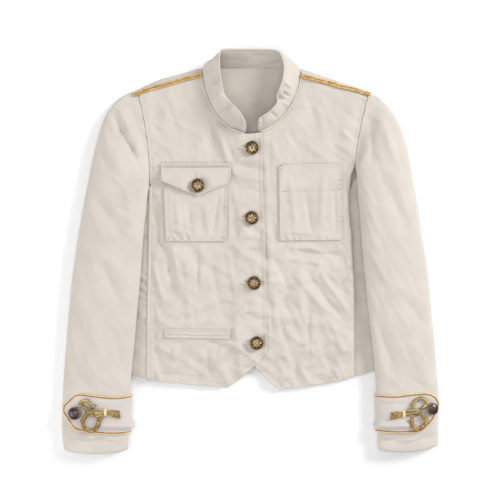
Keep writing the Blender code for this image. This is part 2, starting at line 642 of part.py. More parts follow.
def table_row(table, v):
    """Smooth reading of a sleeve table at row v, which need not be whole."""
    last = len(table) - 1
    v = min(max(v, 0.0), float(last))
    k = min(int(v), last - 1)
    t = v - k
    rows = [np.array(table[min(max(k + d, 0), last)]) for d in (-1, 0, 1, 2)]
    low = 0.5 * (rows[2] - rows[0]) if k > 0 else rows[2] - rows[1]
    high = 0.5 * (rows[3] - rows[1]) if k < last - 1 else rows[2] - rows[1]
    return ((2 * t ** 3 - 3 * t ** 2 + 1) * rows[1] + (t ** 3 - 2 * t ** 2 + t) * low
            + (-2 * t ** 3 + 3 * t ** 2) * rows[2] + (t ** 3 - t ** 2) * high)


def sleeve_point(table, v, angle, inset=0.0):
    """Point of a sleeve: angle 0 at its inner edge, over the top to pi at the outer one."""
    ix, iy, ox, oy, height, bow, roundness = table_row(table, v)
    long = math.hypot(ox - ix, oy - iy)
    dx = (ox - ix) / long
    dy = (oy - iy) / long
    power = 2.0 / (roundness if math.sin(angle) > 0.0 else 5.0)
    across = math.copysign(abs(math.cos(angle)) ** power, math.cos(angle))
    up = math.copysign(abs(math.sin(angle)) ** power, math.sin(angle))
    u = 0.5 - 0.5 * across * (1.0 - 2.0 * inset / long)
    side = bow * 4.0 * u * (1.0 - u)
    x = ix + u * (ox - ix) + side * dy
    y = iy + u * (oy - iy) - side * dx
    floor = under_sleeve(x, y)
    own = smooth(v / 2.4)
    top = own * (height + fold_height(x, y, SLEEVE_FOLDS)) + (1.0 - own) * front_z(x, y)
    top = max(top, floor + 5.0)
    middle = floor + 0.42 * (top - floor)
    if up > 0.0:
        z = middle + up * (top - inset - middle)
    else:
        z = middle + up * (middle - floor - inset)
    return (x, y, z)


def angle_of(table, v, u, top=True):
    """Angle round the sleeve for a share u of its width, on its top or its underside."""
    roundness = table_row(table, v)[6] if top else 5.0
    part = 1.0 - 2.0 * u
    angle = math.acos(math.copysign(abs(part) ** (roundness / 2.0), part))
    return angle if top else -angle


def ring_angles(table, v):
    """Angles of one ring, closer together toward its two edges."""
    shares = [0.5 - 0.5 * math.cos(math.pi * (k + 1) / (RING_HALF + 1)) for k in range(RING_HALF)]
    angles = [0.0]
    angles += [angle_of(table, v, u) for u in shares]
    angles += [math.pi]
    angles += [angle_of(table, v, u, False) for u in reversed(shares)]
    return angles


def sleeve(name, table):
    rings = SLEEVE_RINGS
    ring_points = 2 * RING_HALF + 2
    points = []
    for inset in (0.0, CLOTH):
        for k in range(rings):
            v = (len(table) - 1) * (k / (rings - 1)) ** 1.12
            for angle in ring_angles(table, v):
                points.append(sleeve_point(table, v, angle, inset))
    faces = []
    whole = rings * ring_points
    for k in range(rings - 1):
        for j in range(ring_points):
            a = k * ring_points + j
            b = k * ring_points + (j + 1) % ring_points
            faces.append((a, b, b + ring_points, a + ring_points))
            faces.append((whole + b, whole + a, whole + a + ring_points, whole + b + ring_points))
    for j in range(ring_points):
        a = j
        b = (j + 1) % ring_points
        faces.append((b, a, whole + a, whole + b))
        a += (rings - 1) * ring_points
        b += (rings - 1) * ring_points
        faces.append((a, b, whole + b, whole + a))
    return make_object(name, points, faces)


sleeve_right = sleeve("sleeve_right", RIGHT_SLEEVE)
sleeve_left = sleeve("sleeve_left", LEFT_SLEEVE)

# Stand collar: a ruled band with a belly, five points high
COLLAR_RISE = 4


def collar_point(row, t):
    """Curve through the foot, the middle and the top of one collar station."""
    foot = np.array((row[0], row[1], row[6]))
    top = np.array((row[4], row[5], row[7]))
    middle = np.array((row[2], row[3], 0.5 * (row[6] + row[7])))
    return (foot * (1.0 - t) * (1.0 - 2.0 * t) + middle * 4.0 * t * (1.0 - t)
            + top * t * (2.0 * t - 1.0))


def collar_grid(high, per_row):
    last = len(COLLAR) - 1
    grid = []
    for k in range(last * per_row + 1):
        row = table_row(COLLAR, k / per_row)
        grid.append([collar_point(row, j / high) for j in range(high + 1)])
    return np.array(grid)


grid = collar_grid(COLLAR_RISE, 1)
lengthways = np.gradient(grid, axis=0)
upward = np.gradient(grid, axis=1)
normals = np.cross(upward, lengthways)
normals /= np.linalg.norm(normals, axis=2)[:, :, None]
behind = grid - normals * COLLAR_CLOTH
stations, levels = grid.shape[:2]
points = [tuple(p) for p in grid.reshape(-1, 3)] + [tuple(p) for p in behind.reshape(-1, 3)]
half = stations * levels
faces = []
for k in range(stations - 1):
    for j in range(levels - 1):
        a = k * levels + j
        faces.append((a, a + 1, a + levels + 1, a + levels))
        faces.append((half + a, half + a + levels, half + a + levels + 1, half + a + 1))
    a = k * levels
    faces.append((a, a + levels, half + a + levels, half + a))
    a += levels - 1
    faces.append((a, half + a, half + a + levels, a + levels))
for j in range(levels - 1):
    faces.append((j, half + j, half + j + 1, j + 1))
    a = (stations - 1) * levels + j
    faces.append((a, a + 1, half + a + 1, half + a))
collar = make_object("collar", points, faces)


def flap_surface(x, y):
    """The flap lies on the front at its seam and on the pocket further down."""
    over = smooth((POCKET_FLAP[0][1] - 3.0 - y) / 12.0)
    return (x, y, top_front_z(x, y) + over * (POCKET_CLOTH + LAY_GAP))


pocket_body = panel(
    "pocket_body", outline_points(POCKET_BODY, MESH_STEP),
    lambda x, y: (x, y, top_front_z(x, y)), POCKET_CLOTH, lift=LAY_GAP)
pocket_flap = panel(
    "pocket_flap", outline_points(POCKET_FLAP, 8.0), flap_surface, FLAP_CLOTH,
    step=8.0, lift=LAY_GAP)
patch_pocket = panel(
    "patch_pocket", outline_points(PATCH_POCKET, MESH_STEP),
    lambda x, y: (x, y, front_z(x, y)), POCKET_CLOTH, lift=LAY_GAP)
welt = panel(
    "welt", outline_points(WELT, 10.0), lambda x, y: (x, y, top_front_z(x, y)),
    POCKET_CLOTH, lift=LAY_GAP)

ANTIQUE = (0.22, 0.14, 0.07)
GILT = (0.66, 0.45, 0.16)


def button(name, centre, normal, radius):
    """A turned metal button with a rolled rim, a low dome and a stub shank."""
    # distance from the axis, height over the seat
    profile = [
        (2.4, 0.0), (2.4, 1.2), (0.88 * radius, 1.4), (radius, 2.6), (0.92 * radius, 4.0),
        (0.80 * radius, 3.5), (0.45 * radius, 5.0),
    ]
    normal = Vector(normal).normalized()
    turn = Vector((0.0, 0.0, 1.0)).rotation_difference(normal)
    around = 18
    places = [Vector((0.0, 0.0, 0.0))]
    for r, z in profile:
        for k in range(around):
            angle = 2.0 * math.pi * k / around
            places.append(Vector((r * math.cos(angle), r * math.sin(angle), z)))
    places.append(Vector((0.0, 0.0, 5.5)))
    faces = []
    for k in range(around):
        faces.append((0, 1 + (k + 1) % around, 1 + k))
        for ring in range(len(profile) - 1):
            a = 1 + ring * around + k
            b = 1 + ring * around + (k + 1) % around
            faces.append((a, b, b + around, a + around))
        a = 1 + (len(profile) - 1) * around
        faces.append((a + k, a + (k + 1) % around, len(places) - 1))
    moved = [tuple(Vector(centre) + turn @ place) for place in places]
    return make_object(name, moved, faces, ANTIQUE, 1.0, 0.35)


for name, x, y, seat in FRONT_BUTTONS:
    level = max(front_z(x + 9.0 * math.cos(k), y + 9.0 * math.sin(k)) for k in range(7))
    button(name, (x, y, level + seat + 0.5), (0.0, 0.0, 1.0), BUTTON_RADIUS)


def tube(name, path, profile, colour=GILT, metal=1.0, rough=0.4):
    """A closed solid swept along a path of (centre, side, up) with a profile in side, up."""
    points = []
    count = len(profile)
    for centre, side, up in path:
        for p, q in profile:
            points.append(tuple(centre + side * p + up * q))
    faces = []
    for k in range(len(path) - 1):
        for j in range(count):
            a = k * count + j
            b = k * count + (j + 1) % count
            faces.append((a, b, b + count, a + count))
    faces.append(tuple(reversed(range(count))))
    faces.append(tuple(range((len(path) - 1) * count, len(path) * count)))
    return make_object(name, points, faces, colour, metal, rough)


def frames(centres, ups):
    """Side and up directions along a line of centres."""
    path = []
    for k, centre in enumerate(centres):
        ahead = centres[min(k + 1, len(centres) - 1)] - centres[max(k - 1, 0)]
        ahead = ahead / np.linalg.norm(ahead)
        side = np.cross(ahead, ups[k])
        side = side / np.linalg.norm(side)
        path.append((centre, side, np.cross(side, ahead)))
    return path


# Double cord: two cords side by side, drawn as one figure of eight
PAIR = []
for k in range(12):
    angle = math.pi * (k + 0.5) / 6.0
    lobe = 1.0 if k < 3 or k > 8 else -1.0
    PAIR.append((lobe * 0.92 * CORD_RADIUS + CORD_RADIUS * math.cos(angle),
                 CORD_RADIUS * math.sin(angle)))


def surface_normal(height, x, y):
    slope_x = (height(x + 1.0, y) - height(x - 1.0, y)) / 2.0
    slope_y = (height(x, y + 1.0) - height(x, y - 1.0)) / 2.0
    normal = np.array((-slope_x, -slope_y, 1.0))
    return normal / np.linalg.norm(normal)


for name, line in (("cord_right", CORD_LINE_RIGHT), ("cord_left", CORD_LINE_LEFT)):
    centres = []
    ups = []
    rising = sorted(line)
    for k in range(11):
        x = line[0][0] + (line[-1][0] - line[0][0]) * k / 10.0
        y = along(rising, x)
        up = surface_normal(front_z, x, y)
        centres.append(np.array((x, y, front_z(x, y))) + up * (CORD_RADIUS + 0.7))
        ups.append(up)
    tube(name, frames(centres, ups), PAIR)


def sleeve_normal(table, v, angle):
    """Outward direction of a sleeve's face."""
    along_v = (np.array(sleeve_point(table, v + 0.03, angle))
               - np.array(sleeve_point(table, v - 0.03, angle)))
    along_a = (np.array(sleeve_point(table, v, angle + 0.04))
               - np.array(sleeve_point(table, v, angle - 0.04)))
    normal = np.cross(along_v, along_a)
    normal /= np.linalg.norm(normal)
    middle = 0.5 * (np.array(sleeve_point(table, v, 0.5 * math.pi))
                    + np.array(sleeve_point(table, v, 1.5 * math.pi)))
    if np.dot(normal, np.array(sleeve_point(table, v, angle)) - middle) < 0.0:
        normal = -normal
    return normal


def row_at(table, u, y):
    """Row of the sleeve table at a share u of the width where the sleeve passes y."""
    low, high = 8.0, float(len(table) - 1)
    for k in range(40):
        middle = 0.5 * (low + high)
        if sleeve_point(table, middle, angle_of(table, middle, u))[1] > y:
            low = middle
        else:
            high = middle
    return 0.5 * (low + high)


def place_on_cuff(table, x, y):
    """Row and angle of a point on top of a cuff."""
    u = 0.5
    for k in range(12):
        v = row_at(table, u, y)
        row = table_row(table, v)
        u = min(max((x - row[0]) / (row[2] - row[0]), 0.01), 0.99)
    return v, angle_of(table, v, u)


def band_columns(table, rows):
    """Angle, upper row and lower row of each column of a cuff tab."""
    columns = []
    for degrees in BAND_TURN:
        angle = math.radians(degrees)
        u = 0.5 - 0.5 * abs(math.cos(angle)) ** 0.75 if angle > 0.0 else 0.0
        columns.append((angle, angle, row_at(table, u, along(rows, u, 1)),
                        row_at(table, u, along(rows, u, 2))))
    marks = sorted(set([0.25, 0.36, 0.58] + [row[0] for row in rows if row[0] > 0.2]))
    for u in marks:
        top = row_at(table, u, along(rows, u, 1))
        bottom = row_at(table, u, along(rows, u, 2))
        columns.append((angle_of(table, top, u), angle_of(table, bottom, u), top, bottom))
    return columns


def cuff_band(name, table, rows):
    columns = band_columns(table, rows)
    across = 4
    outer = []
    inner = []
    for top_angle, bottom_angle, top, bottom in columns:
        for j in range(across + 1):
            t = j / across
            v = top + (bottom - top) * t
            angle = top_angle + (bottom_angle - top_angle) * t
            point = np.array(sleeve_point(table, v, angle))
            normal = sleeve_normal(table, v, angle)
            inner.append(point + normal * BAND_GAP)
            outer.append(point + normal * (BAND_GAP + BAND_CLOTH))
    half = len(outer)
    wide = across + 1
    faces = []
    for k in range(len(columns) - 1):
        for j in range(across):
            a = k * wide + j
            faces.append((a, a + 1, a + wide + 1, a + wide))
            faces.append((half + a, half + a + wide, half + a + wide + 1, half + a + 1))
        a = k * wide
        faces.append((a, a + wide, half + a + wide, half + a))
        a += across
        faces.append((a, half + a, half + a + wide, a + wide))
    for j in range(across):
        faces.append((j, half + j, half + j + 1, j + 1))
        a = (len(columns) - 1) * wide + j
        faces.append((a, a + 1, half + a + 1, half + a))
    return make_object(name, outer + inner, faces, (0.78, 0.74, 0.72))


def cuff_piping(name, table, rows):
    """Gilt piping along both long edges of a tab and round its point."""
    columns = band_columns(table, rows)
    edge = [(top_angle, top) for top_angle, bottom_angle, top, bottom in columns]
    edge += [(bottom_angle, bottom) for top_angle, bottom_angle, top, bottom in reversed(columns)]
    surface = [np.array(sleeve_point(table, v, angle)) for angle, v in edge]
    ups = [sleeve_normal(table, v, angle) for angle, v in edge]
    radius = 1.2
    centres = []
    for k, point in enumerate(surface):
        ahead = surface[min(k + 1, len(surface) - 1)] - surface[max(k - 1, 0)]
        ahead /= np.linalg.norm(ahead)
        out = np.cross(ahead, ups[k])
        out /= np.linalg.norm(out)
        middle_angle = 0.5 * (columns[0][0] + columns[-1][0])
        centre_v = 0.5 * (columns[2][2] + columns[2][3])
        inward = np.array(sleeve_point(table, centre_v, middle_angle)) - point
        if np.dot(out, inward) > 0.0:
            out = -out
        centres.append(point + out * (radius + 0.4) + ups[k] * (radius + 0.8))
    profile = [(radius * math.cos(math.pi * k / 3), radius * math.sin(math.pi * k / 3))
               for k in range(6)]
    return tube(name, frames(centres, ups), profile)


def knot(side, table, parts):
    """The cord ornament of one cuff, built over its tab."""
    base = BAND_GAP + BAND_CLOTH + 0.4

    def spot(x, y, lift):
        v, angle = place_on_cuff(table, x, y)
        up = sleeve_normal(table, v, angle)
        return np.array(sleeve_point(table, v, angle)) + up * (base + lift), up

    x, y, radius = parts["button"]
    centre, up = spot(x, y, 0.2)
    button("button_cuff_" + side, centre, up, radius)
    for which in ("upper", "lower"):
        x, y, ring, thick = parts[which]
        x1, y1, x2, y2, half = parts["bundle"]
        toward = math.atan2(0.5 * (y1 + y2) - y, 0.0)
        centres = []
        ups = []
        for k in range(13):
            angle = toward + math.radians(62.0 + (360.0 - 124.0) * k / 12.0)
            centre, up = spot(x + ring * math.cos(angle), y + ring * math.sin(angle), thick)
            centres.append(centre)
            ups.append(up)
        profile = [(thick * math.cos(math.pi * k / 3), thick * math.sin(math.pi * k / 3))
                   for k in range(6)]
        tube("loop_" + which + "_" + side, frames(centres, ups), profile)
    for which, steps in (("bundle", 5), ("binding", 2), ("tassel", 4)):
        x1, y1, x2, y2, half = parts[which]
        centres = []
        ups = []
        for k in range(steps):
            t = k / (steps - 1)
            centre, up = spot(x1 + (x2 - x1) * t, y1 + (y2 - y1) * t, 1.9)
            centres.append(centre)
            ups.append(up)
        high = 2.5 if which == "binding" else 1.8
        profile = []
        for k in range(12):
            angle = 2.0 * math.pi * k / 12
            ridge = 1.0 if which == "binding" else 1.0 + 0.12 * math.cos(3.0 * angle)
            profile.append((half * math.copysign(abs(math.cos(angle)) ** 0.7, math.cos(angle)),
                            high * ridge * math.sin(angle) if math.sin(angle) > 0.0
                            else 1.6 * math.sin(angle)))
        tube(which + "_" + side, frames(centres, ups), profile)


cuff_band("band_right", RIGHT_SLEEVE, RIGHT_BAND)
cuff_band("band_left", LEFT_SLEEVE, LEFT_BAND)
cuff_piping("piping_right", RIGHT_SLEEVE, RIGHT_BAND)
cuff_piping("piping_left", LEFT_SLEEVE, LEFT_BAND)
knot("right", RIGHT_SLEEVE, RIGHT_KNOT)
knot("left", LEFT_SLEEVE, LEFT_KNOT)
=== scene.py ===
"""Looks of a cropped stand-collar cotton blazer with gilt trim, buttoned and laid flat.

Lengths in the tables are millimetres, as on the cutting table. Meshes are made in metres.
"""
import math

import bpy
import numpy as np
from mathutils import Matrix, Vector
from mathutils.geometry import delaunay_2d_cdt


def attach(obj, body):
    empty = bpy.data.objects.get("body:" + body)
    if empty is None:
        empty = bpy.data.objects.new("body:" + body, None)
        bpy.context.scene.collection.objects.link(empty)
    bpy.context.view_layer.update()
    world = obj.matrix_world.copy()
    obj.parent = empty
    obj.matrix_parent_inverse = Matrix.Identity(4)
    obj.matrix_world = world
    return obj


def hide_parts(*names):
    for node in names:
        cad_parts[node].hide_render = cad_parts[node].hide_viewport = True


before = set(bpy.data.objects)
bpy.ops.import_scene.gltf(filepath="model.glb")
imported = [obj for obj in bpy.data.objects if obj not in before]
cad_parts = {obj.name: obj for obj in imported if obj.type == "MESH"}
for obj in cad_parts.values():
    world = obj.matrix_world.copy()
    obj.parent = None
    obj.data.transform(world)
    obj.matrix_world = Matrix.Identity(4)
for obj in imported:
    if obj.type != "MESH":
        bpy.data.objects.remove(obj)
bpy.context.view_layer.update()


# The table that the jacket lies on: a seamless pale sheet, a large soft lamp up to the
# right of the neck, a wide soft ceiling and a weak lamp from the left, and the camera
# straight above.
table_mesh = bpy.data.meshes.new("table_top")
table_mesh.from_pydata(
    [(-6.0, -6.0, -0.0004), (6.0, -6.0, -0.0004), (6.0, 6.0, -0.0004), (-6.0, 6.0, -0.0004)],
    [], [(0, 1, 2, 3)])
table_top = bpy.data.objects.new("table_top", table_mesh)
bpy.context.scene.collection.objects.link(table_top)
table_finish = bpy.data.materials.new("pale_table")
table_finish.use_nodes = True
table_shader = table_finish.node_tree.nodes["Principled BSDF"]
table_shader.inputs["Base Color"].default_value = (0.96, 0.96, 0.96, 1.0)
table_shader.inputs["Roughness"].default_value = 0.9
table_shader.inputs["Specular IOR Level"].default_value = 0.1
table_mesh.materials.append(table_finish)

# lamp, place, aim, size, watts
LAMPS = [
    ("key_lamp", (2.75, 1.50, 1.72), (0.0, 0.0, 0.0), 1.6, 98.0),
    ("ceiling_lamp", (-0.3, -0.3, 2.6), (0.0, 0.0, 0.0), 2.2, 20.0),
    ("left_lamp", (-1.9, -0.7, 1.3), (0.0, 0.0, 0.0), 1.8, 21.0),
]
for lamp_name, place, aim, size, watts in LAMPS:
    lamp_data = bpy.data.lights.new(lamp_name, "AREA")
    lamp_data.shape = "DISK"
    lamp_data.size = size
    lamp_data.energy = watts
    lamp = bpy.data.objects.new(lamp_name, lamp_data)
    lamp.location = place
    lamp.rotation_euler = (Vector(aim) - Vector(place)).to_track_quat("-Z", "Y").to_euler()
    bpy.context.scene.collection.objects.link(lamp)

room = bpy.data.worlds.new("pale_room")
room.use_nodes = True
room.node_tree.nodes["Background"].inputs["Color"].default_value = (0.97, 0.98, 1.0, 1.0)
room.node_tree.nodes["Background"].inputs["Strength"].default_value = 0.46
bpy.context.scene.world = room
bpy.context.scene.view_settings.view_transform = "Standard"

camera_data = bpy.data.cameras.new("camera")
camera_data.sensor_width = 36.0
camera_data.lens = 135.0
camera = bpy.data.objects.new("camera", camera_data)
camera.location = (-0.0006, 0.0025, 3.012)
bpy.context.scene.collection.objects.link(camera)
bpy.context.scene.camera = camera


# The two fronts: cut from doubled ecru cotton twill, faced along the closing, the hem
# turned up and sewn. The wearer's right front buttons over the left one. Laid down, they
# rise over the air inside, roll down to the back at the shoulders and carry soft folds.
CLOTH = 1.8
SEAM_GAP = 0.3
SEAM_CLOSE = -0.25
LAY_GAP = 0.7
LAP_LIFT = 2.8
BODY_HEIGHT = 13.0
RIM_TILT = 0.6
RIM_BOTTOM = CLOTH + SEAM_GAP + RIM_TILT
SHOULDER_ROLL = 22.0
SIDE_ROLL = 9.0
LEFT_WRAP_HIGH = 9.3
RIGHT_WRAP_TOP = 5.0
MIDDLE_X = 1.0
MIDDLE_Y = -1.5
FRONT_STEP = 2.9

# x, y along the shoulders
SHOULDER_RIGHT = [
    (-244.8, 192.8), (-235.2, 215.2), (-220.8, 236.0), (-201.6, 253.6), (-182.1, 261.1), (-148.8, 276.6),
    (-113.6, 286.2), (-78.1, 295.5),
]
SHOULDER_LEFT = [
    (79.7, 294.6), (110.4, 284.6), (139.2, 275.0), (169.6, 263.8), (188.0, 256.8),
    (206.4, 248.2), (224.0, 228.0), (240.0, 200.8),
]
ARM_TOP_RIGHT = (-182.1, 261.1)
ARM_PIT_RIGHT = (-161.6, 111.2)
ARM_TOP_LEFT = (188.0, 256.8)
ARM_PIT_LEFT = (165.4, 138.4)
ARM_BOW_RIGHT = 5.0
ARM_BOW_LEFT = 2.6
# y, x of the wearer's left side edge
LEFT_SIDE = [
    (-199.2, 166.4), (-60.0, 166.4), (4.0, 162.6), (32.8, 162.1),
    (47.2, 159.4), (72.8, 157.4), (90.4, 157.4), (114.4, 161.0),
    (125.6, 161.9), (138.4, 165.4),
]
# x0, y0, x1, y1, half width, height of the largest folds
FRONT_FOLDS = [
    (-52.8, 199.2, -33.6, 128.8, 17.0, 2.4),
    (-70.4, 212.0, -57.6, 148.0, 16.0, -1.6),
    (-24.0, 138.4, 17.6, 130.4, 17.0, -2.0),
    (-24.0, 101.6, 11.2, 98.4, 18.0, -1.0),
    (-161.6, 20.0, -126.4, -63.2, 20.0, -2.0),
    (-104.0, 0.8, -86.4, -69.6, 18.0, 1.0),
    (-145.6, -76.0, -88.0, -104.8, 20.0, 1.2),
    (-97.6, -159.2, -88.0, -200.8, 20.0, -1.4),
    (-41.6, -156.0, -30.4, -200.8, 18.0, 1.2),
    (49.6, -2.4, 142.4, -8.8, 18.0, -1.6),
    (78.4, -52.0, 150.4, -148.0, 22.0, 1.6),
    (54.4, -76.0, 107.2, -165.6, 22.0, -1.5),
    (126.4, -28.0, 158.4, -76.0, 16.0, -1.0),
    (158.4, 228.0, 150.4, 151.2, 20.0, 1.6),
    (78.4, 228.0, 110.4, 180.0, 24.0, 1.0),
    (-153.6, 228.0, -145.6, 164.0, 18.0, -1.2),
    (40.0, -172.0, 52.8, -212.0, 18.0, -1.0),
    (113.6, -159.2, 126.4, -204.0, 20.0, -1.2),
]
# x0, y0, x1, y1, half width, height of the small folds and drag lines
FRONT_CREASES = [
    (-24.0, 138.4, 19.2, 132.0, 8.0, -1.0),
    (-20.8, 148.0, 17.6, 149.6, 7.0, 0.6),
    (-17.6, 119.2, 17.6, 116.0, 8.0, 0.7),
    (-20.8, 101.6, 17.6, 96.8, 7.0, -0.7),
    (-14.4, 79.2, 17.6, 84.0, 9.0, 0.6),
    (-17.6, 28.0, 20.8, 23.2, 9.0, 0.6),
    (-12.8, 0.8, 20.8, 4.0, 8.0, -0.6),
    (-12.8, -76.0, 24.0, -80.8, 10.0, 0.5),
    (-8.0, -111.2, 24.0, -104.8, 8.0, -0.5),
    (-56.0, 204.0, -43.2, 164.0, 6.0, 1.3),
    (-43.2, 164.0, -32.0, 125.6, 6.0, 1.2),
    (-40.0, 180.0, -24.0, 141.6, 7.0, -1.3),
    (-65.6, 215.2, -56.0, 180.0, 6.0, -0.9),
    (-161.6, 77.6, -145.6, 26.4, 7.0, -0.8),
    (-168.0, 48.8, -148.8, 26.4, 6.0, -0.8),
    (-150.4, 26.4, -137.6, 0.8, 6.0, -0.8),
    (-137.6, 4.0, -124.8, -60.0, 7.0, -0.8),
    (-126.4, 7.2, -112.0, -53.6, 8.0, 0.6),
    (-158.4, -15.2, -140.8, -76.0, 7.0, 0.6),
    (-84.8, -4.0, -84.8, -61.6, 4.0, -0.7),
    (92.8, -88.8, 92.8, -170.4, 4.0, -0.6),
    (-104.0, -15.2, -97.6, -104.8, 9.0, 0.4),
    (-65.6, -15.2, -46.4, -101.6, 10.0, -0.5),
    (-36.8, -4.0, -24.0, -76.0, 9.0, 0.5),
    (-152.0, -85.6, -145.6, -114.4, 7.0, 0.6),
    (-158.4, -124.0, -142.4, -191.2, 8.0, -0.6),
    (-120.0, -148.0, -129.6, -200.8, 8.0, 0.6),
    (-72.0, -149.6, -62.4, -210.4, 8.0, -0.6),
    (-24.0, -124.0, -17.6, -184.8, 8.0, 0.5),
    (-46.4, -146.4, -56.0, -191.2, 7.0, 0.5),
    (52.8, 12.0, 97.6, 5.6, 7.0, 0.7),
    (78.4, 0.8, 145.6, -5.6, 7.0, -0.9),
    (49.6, -8.8, 126.4, -18.4, 8.0, 0.7),
    (40.0, -15.2, 62.4, -63.2, 9.0, -0.5),
    (72.0, -37.6, 120.0, -95.2, 9.0, 0.7),
    (88.0, -31.2, 148.8, -111.2, 9.0, -0.7),
    (113.6, -37.6, 161.6, -104.8, 8.0, 0.6),
    (59.2, -76.0, 88.0, -140.0, 9.0, 0.6),
    (43.2, -95.2, 62.4, -165.6, 9.0, -0.6),
    (126.4, -108.0, 152.0, -172.0, 9.0, 0.5),
    (100.8, -133.6, 120.0, -191.2, 8.0, 0.5),
    (65.6, -159.2, 78.4, -210.4, 8.0, -0.5),
    (142.4, 20.0, 161.6, -15.2, 7.0, -0.6),
    (152.0, 4.0, 163.2, -60.0, 6.0, 0.5),
    (148.8, 132.0, 158.4, 80.8, 5.0, -0.8),
    (153.6, 108.0, 158.4, 42.4, 4.0, 0.6),
    (150.4, 74.4, 158.4, 26.4, 4.0, -0.6),
    (129.6, 170.4, 161.6, 151.2, 6.0, -0.6),
    (142.4, 196.0, 164.8, 176.8, 6.0, 0.5),
    (148.8, 224.8, 171.2, 208.8, 6.0, -0.5),
    (59.2, 196.0, 78.4, 160.8, 9.0, -0.6),
    (88.0, 250.4, 104.0, 208.8, 10.0, -0.5),
    (113.6, 244.0, 132.8, 202.4, 9.0, 0.5),
    (33.6, 189.6, 40.0, 148.0, 8.0, 0.6),
    (27.2, 164.0, 33.6, 84.0, 7.0, -0.5),
    (27.2, 60.0, 32.0, -28.0, 8.0, 0.5),
    (30.4, -52.0, 33.6, -140.0, 8.0, -0.5),
    (-136.0, 237.6, -116.8, 196.0, 9.0, -0.6),
    (-107.2, 247.2, -94.4, 202.4, 9.0, 0.5),
    (-161.6, 205.6, -142.4, 189.6, 6.0, -0.7),
    (-158.4, 183.2, -139.2, 170.4, 6.0, 0.6),
    (-158.4, 160.8, -145.6, 148.0, 6.0, -0.5),
    (-88.0, 180.0, -81.6, 151.2, 8.0, 0.4),
    (-30.4, 76.0, -20.8, 13.6, 8.0, -0.6),
    (-32.0, 116.0, -24.0, 76.0, 6.0, 0.6),
    (-158.4, 13.6, -161.6, -63.2, 5.0, -0.7),
]
# x low, x high, y low, y high of the places under the pockets
PLAIN_PLACES = [
    (-144.0, -32.0, 16.8, 143.2),
    (44.8, 147.2, 18.4, 141.6),
    (-140.8, -30.4, -140.0, -119.2),
]
RIGHT_FRONT_LOWER = [
    (-160.6, 108.6, 1), (-161.8, 60.0, 0), (-162.6, 4.0, 0), (-163.8, -76.0, 0),
    (-164.5, -148.0, 0), (-164.5, -205.6, 1), (-129.6, -208.2, 0), (-94.4, -211.4, 0),
    (-62.4, -214.6, 0), (-36.8, -216.8, 1), (-16.0, -199.8, 0), (4.8, -182.2, 1),
    (16.0, -171.0, 0), (25.1, -160.8, 1), (25.0, -76.0, 0), (22.7, 4.0, 0),
    (21.4, 52.0, 0), (19.7, 92.0, 0), (18.6, 148.0, 0), (18.2, 191.8, 1),
    (4.8, 190.6, 0), (-8.0, 190.2, 0), (-20.8, 194.1, 0), (-33.3, 199.5, 0),
    (-49.0, 212.6, 0), (-62.1, 229.0, 0), (-69.1, 244.5, 0), (-75.8, 263.2, 0),
    (-78.4, 279.2, 0), (-78.1, 294.9, 1),
]
LEFT_FRONT_NECK = [
    (79.7, 293.9, 1), (80.0, 280.8, 0), (77.6, 266.1, 0), (72.6, 251.7, 0),
    (65.6, 236.3, 0), (54.1, 220.2, 0), (41.9, 207.4, 0), (28.2, 198.2, 0),
    (12.8, 192.5, 0), (-1.6, 188.6, 0), (-14.4, 187.0, 1), (-14.4, 84.0, 0),
    (-14.4, -44.0, 0), (-14.4, -160.8, 1), (-4.8, -172.0, 0), (4.8, -181.6, 1),
    (25.6, -201.8, 0), (45.9, -220.3, 1), (84.8, -214.2, 0), (126.4, -208.2, 0),
    (166.4, -199.2, 1),
]


def smooth(t):
    t = np.clip(t, 0.0, 1.0)
    return t * t * (3.0 - 2.0 * t)


def quarter(t):
    """A quarter round: upright at 0, level at 1."""
    return np.sqrt(np.maximum(0.0, 1.0 - (1.0 - np.clip(t, 0.0, 1.0)) ** 2))


def along(table, value, column=1):
    return np.interp(value, [row[0] for row in table], [row[column] for row in table])


def folds(x, y, table, sharp=False):
    """Soft troughs and ridges in the cloth, or sharp ones that fade toward their ends."""
    total = np.zeros(np.shape(x))
    for x0, y0, x1, y1, half, height in table:
        dx = x1 - x0
        dy = y1 - y0
        t = np.clip(((x - x0) * dx + (y - y0) * dy) / (dx * dx + dy * dy), 0.0, 1.0)
        away = np.minimum(np.hypot(x - x0 - t * dx, y - y0 - t * dy) / half, 1.0)
        if sharp:
            total += height * (1.0 - away) ** 1.45 * (0.35 + 2.6 * t * (1.0 - t))
        else:
            total += height * 0.5 * (1.0 + np.cos(np.pi * away))
    return total


# bearing in degrees, wave length, phase, share of the height
HANDLING = [(14.0, 52.0, 0.4, 1.0), (68.0, 43.0, 2.1, 0.8), (121.0, 61.0, 4.0, 1.0),
            (149.0, 33.0, 1.2, 0.6), (97.0, 24.0, 5.2, 0.4), (37.0, 19.0, 3.3, 0.3)]


def handling(x, y):
    """Crumples of washed cotton that has been handled: bent ridges with sharp crests."""
    total = np.zeros(np.shape(x))
    for bearing, wave, phase, share in HANDLING:
        c = math.cos(math.radians(bearing))
        s = math.sin(math.radians(bearing))
        across = c * y - s * x
        bend = 1.9 * np.sin(across * 2.0 * np.pi / (wave * 2.3) + 2.0 * phase)
        bend = bend + 1.1 * np.sin((across * 1.7 + x) * 2.0 * np.pi / (wave * 1.3) + phase)
        crest = 1.0 - 1.7 * np.abs(np.sin(0.5 * ((c * x + s * y) * 2.0 * np.pi / wave + phase + bend)))
        fade = 0.55 + 0.45 * np.sin((x * s + y * c) / wave * 1.9 + 3.0 * phase)
        total += share * crest * fade
    return total


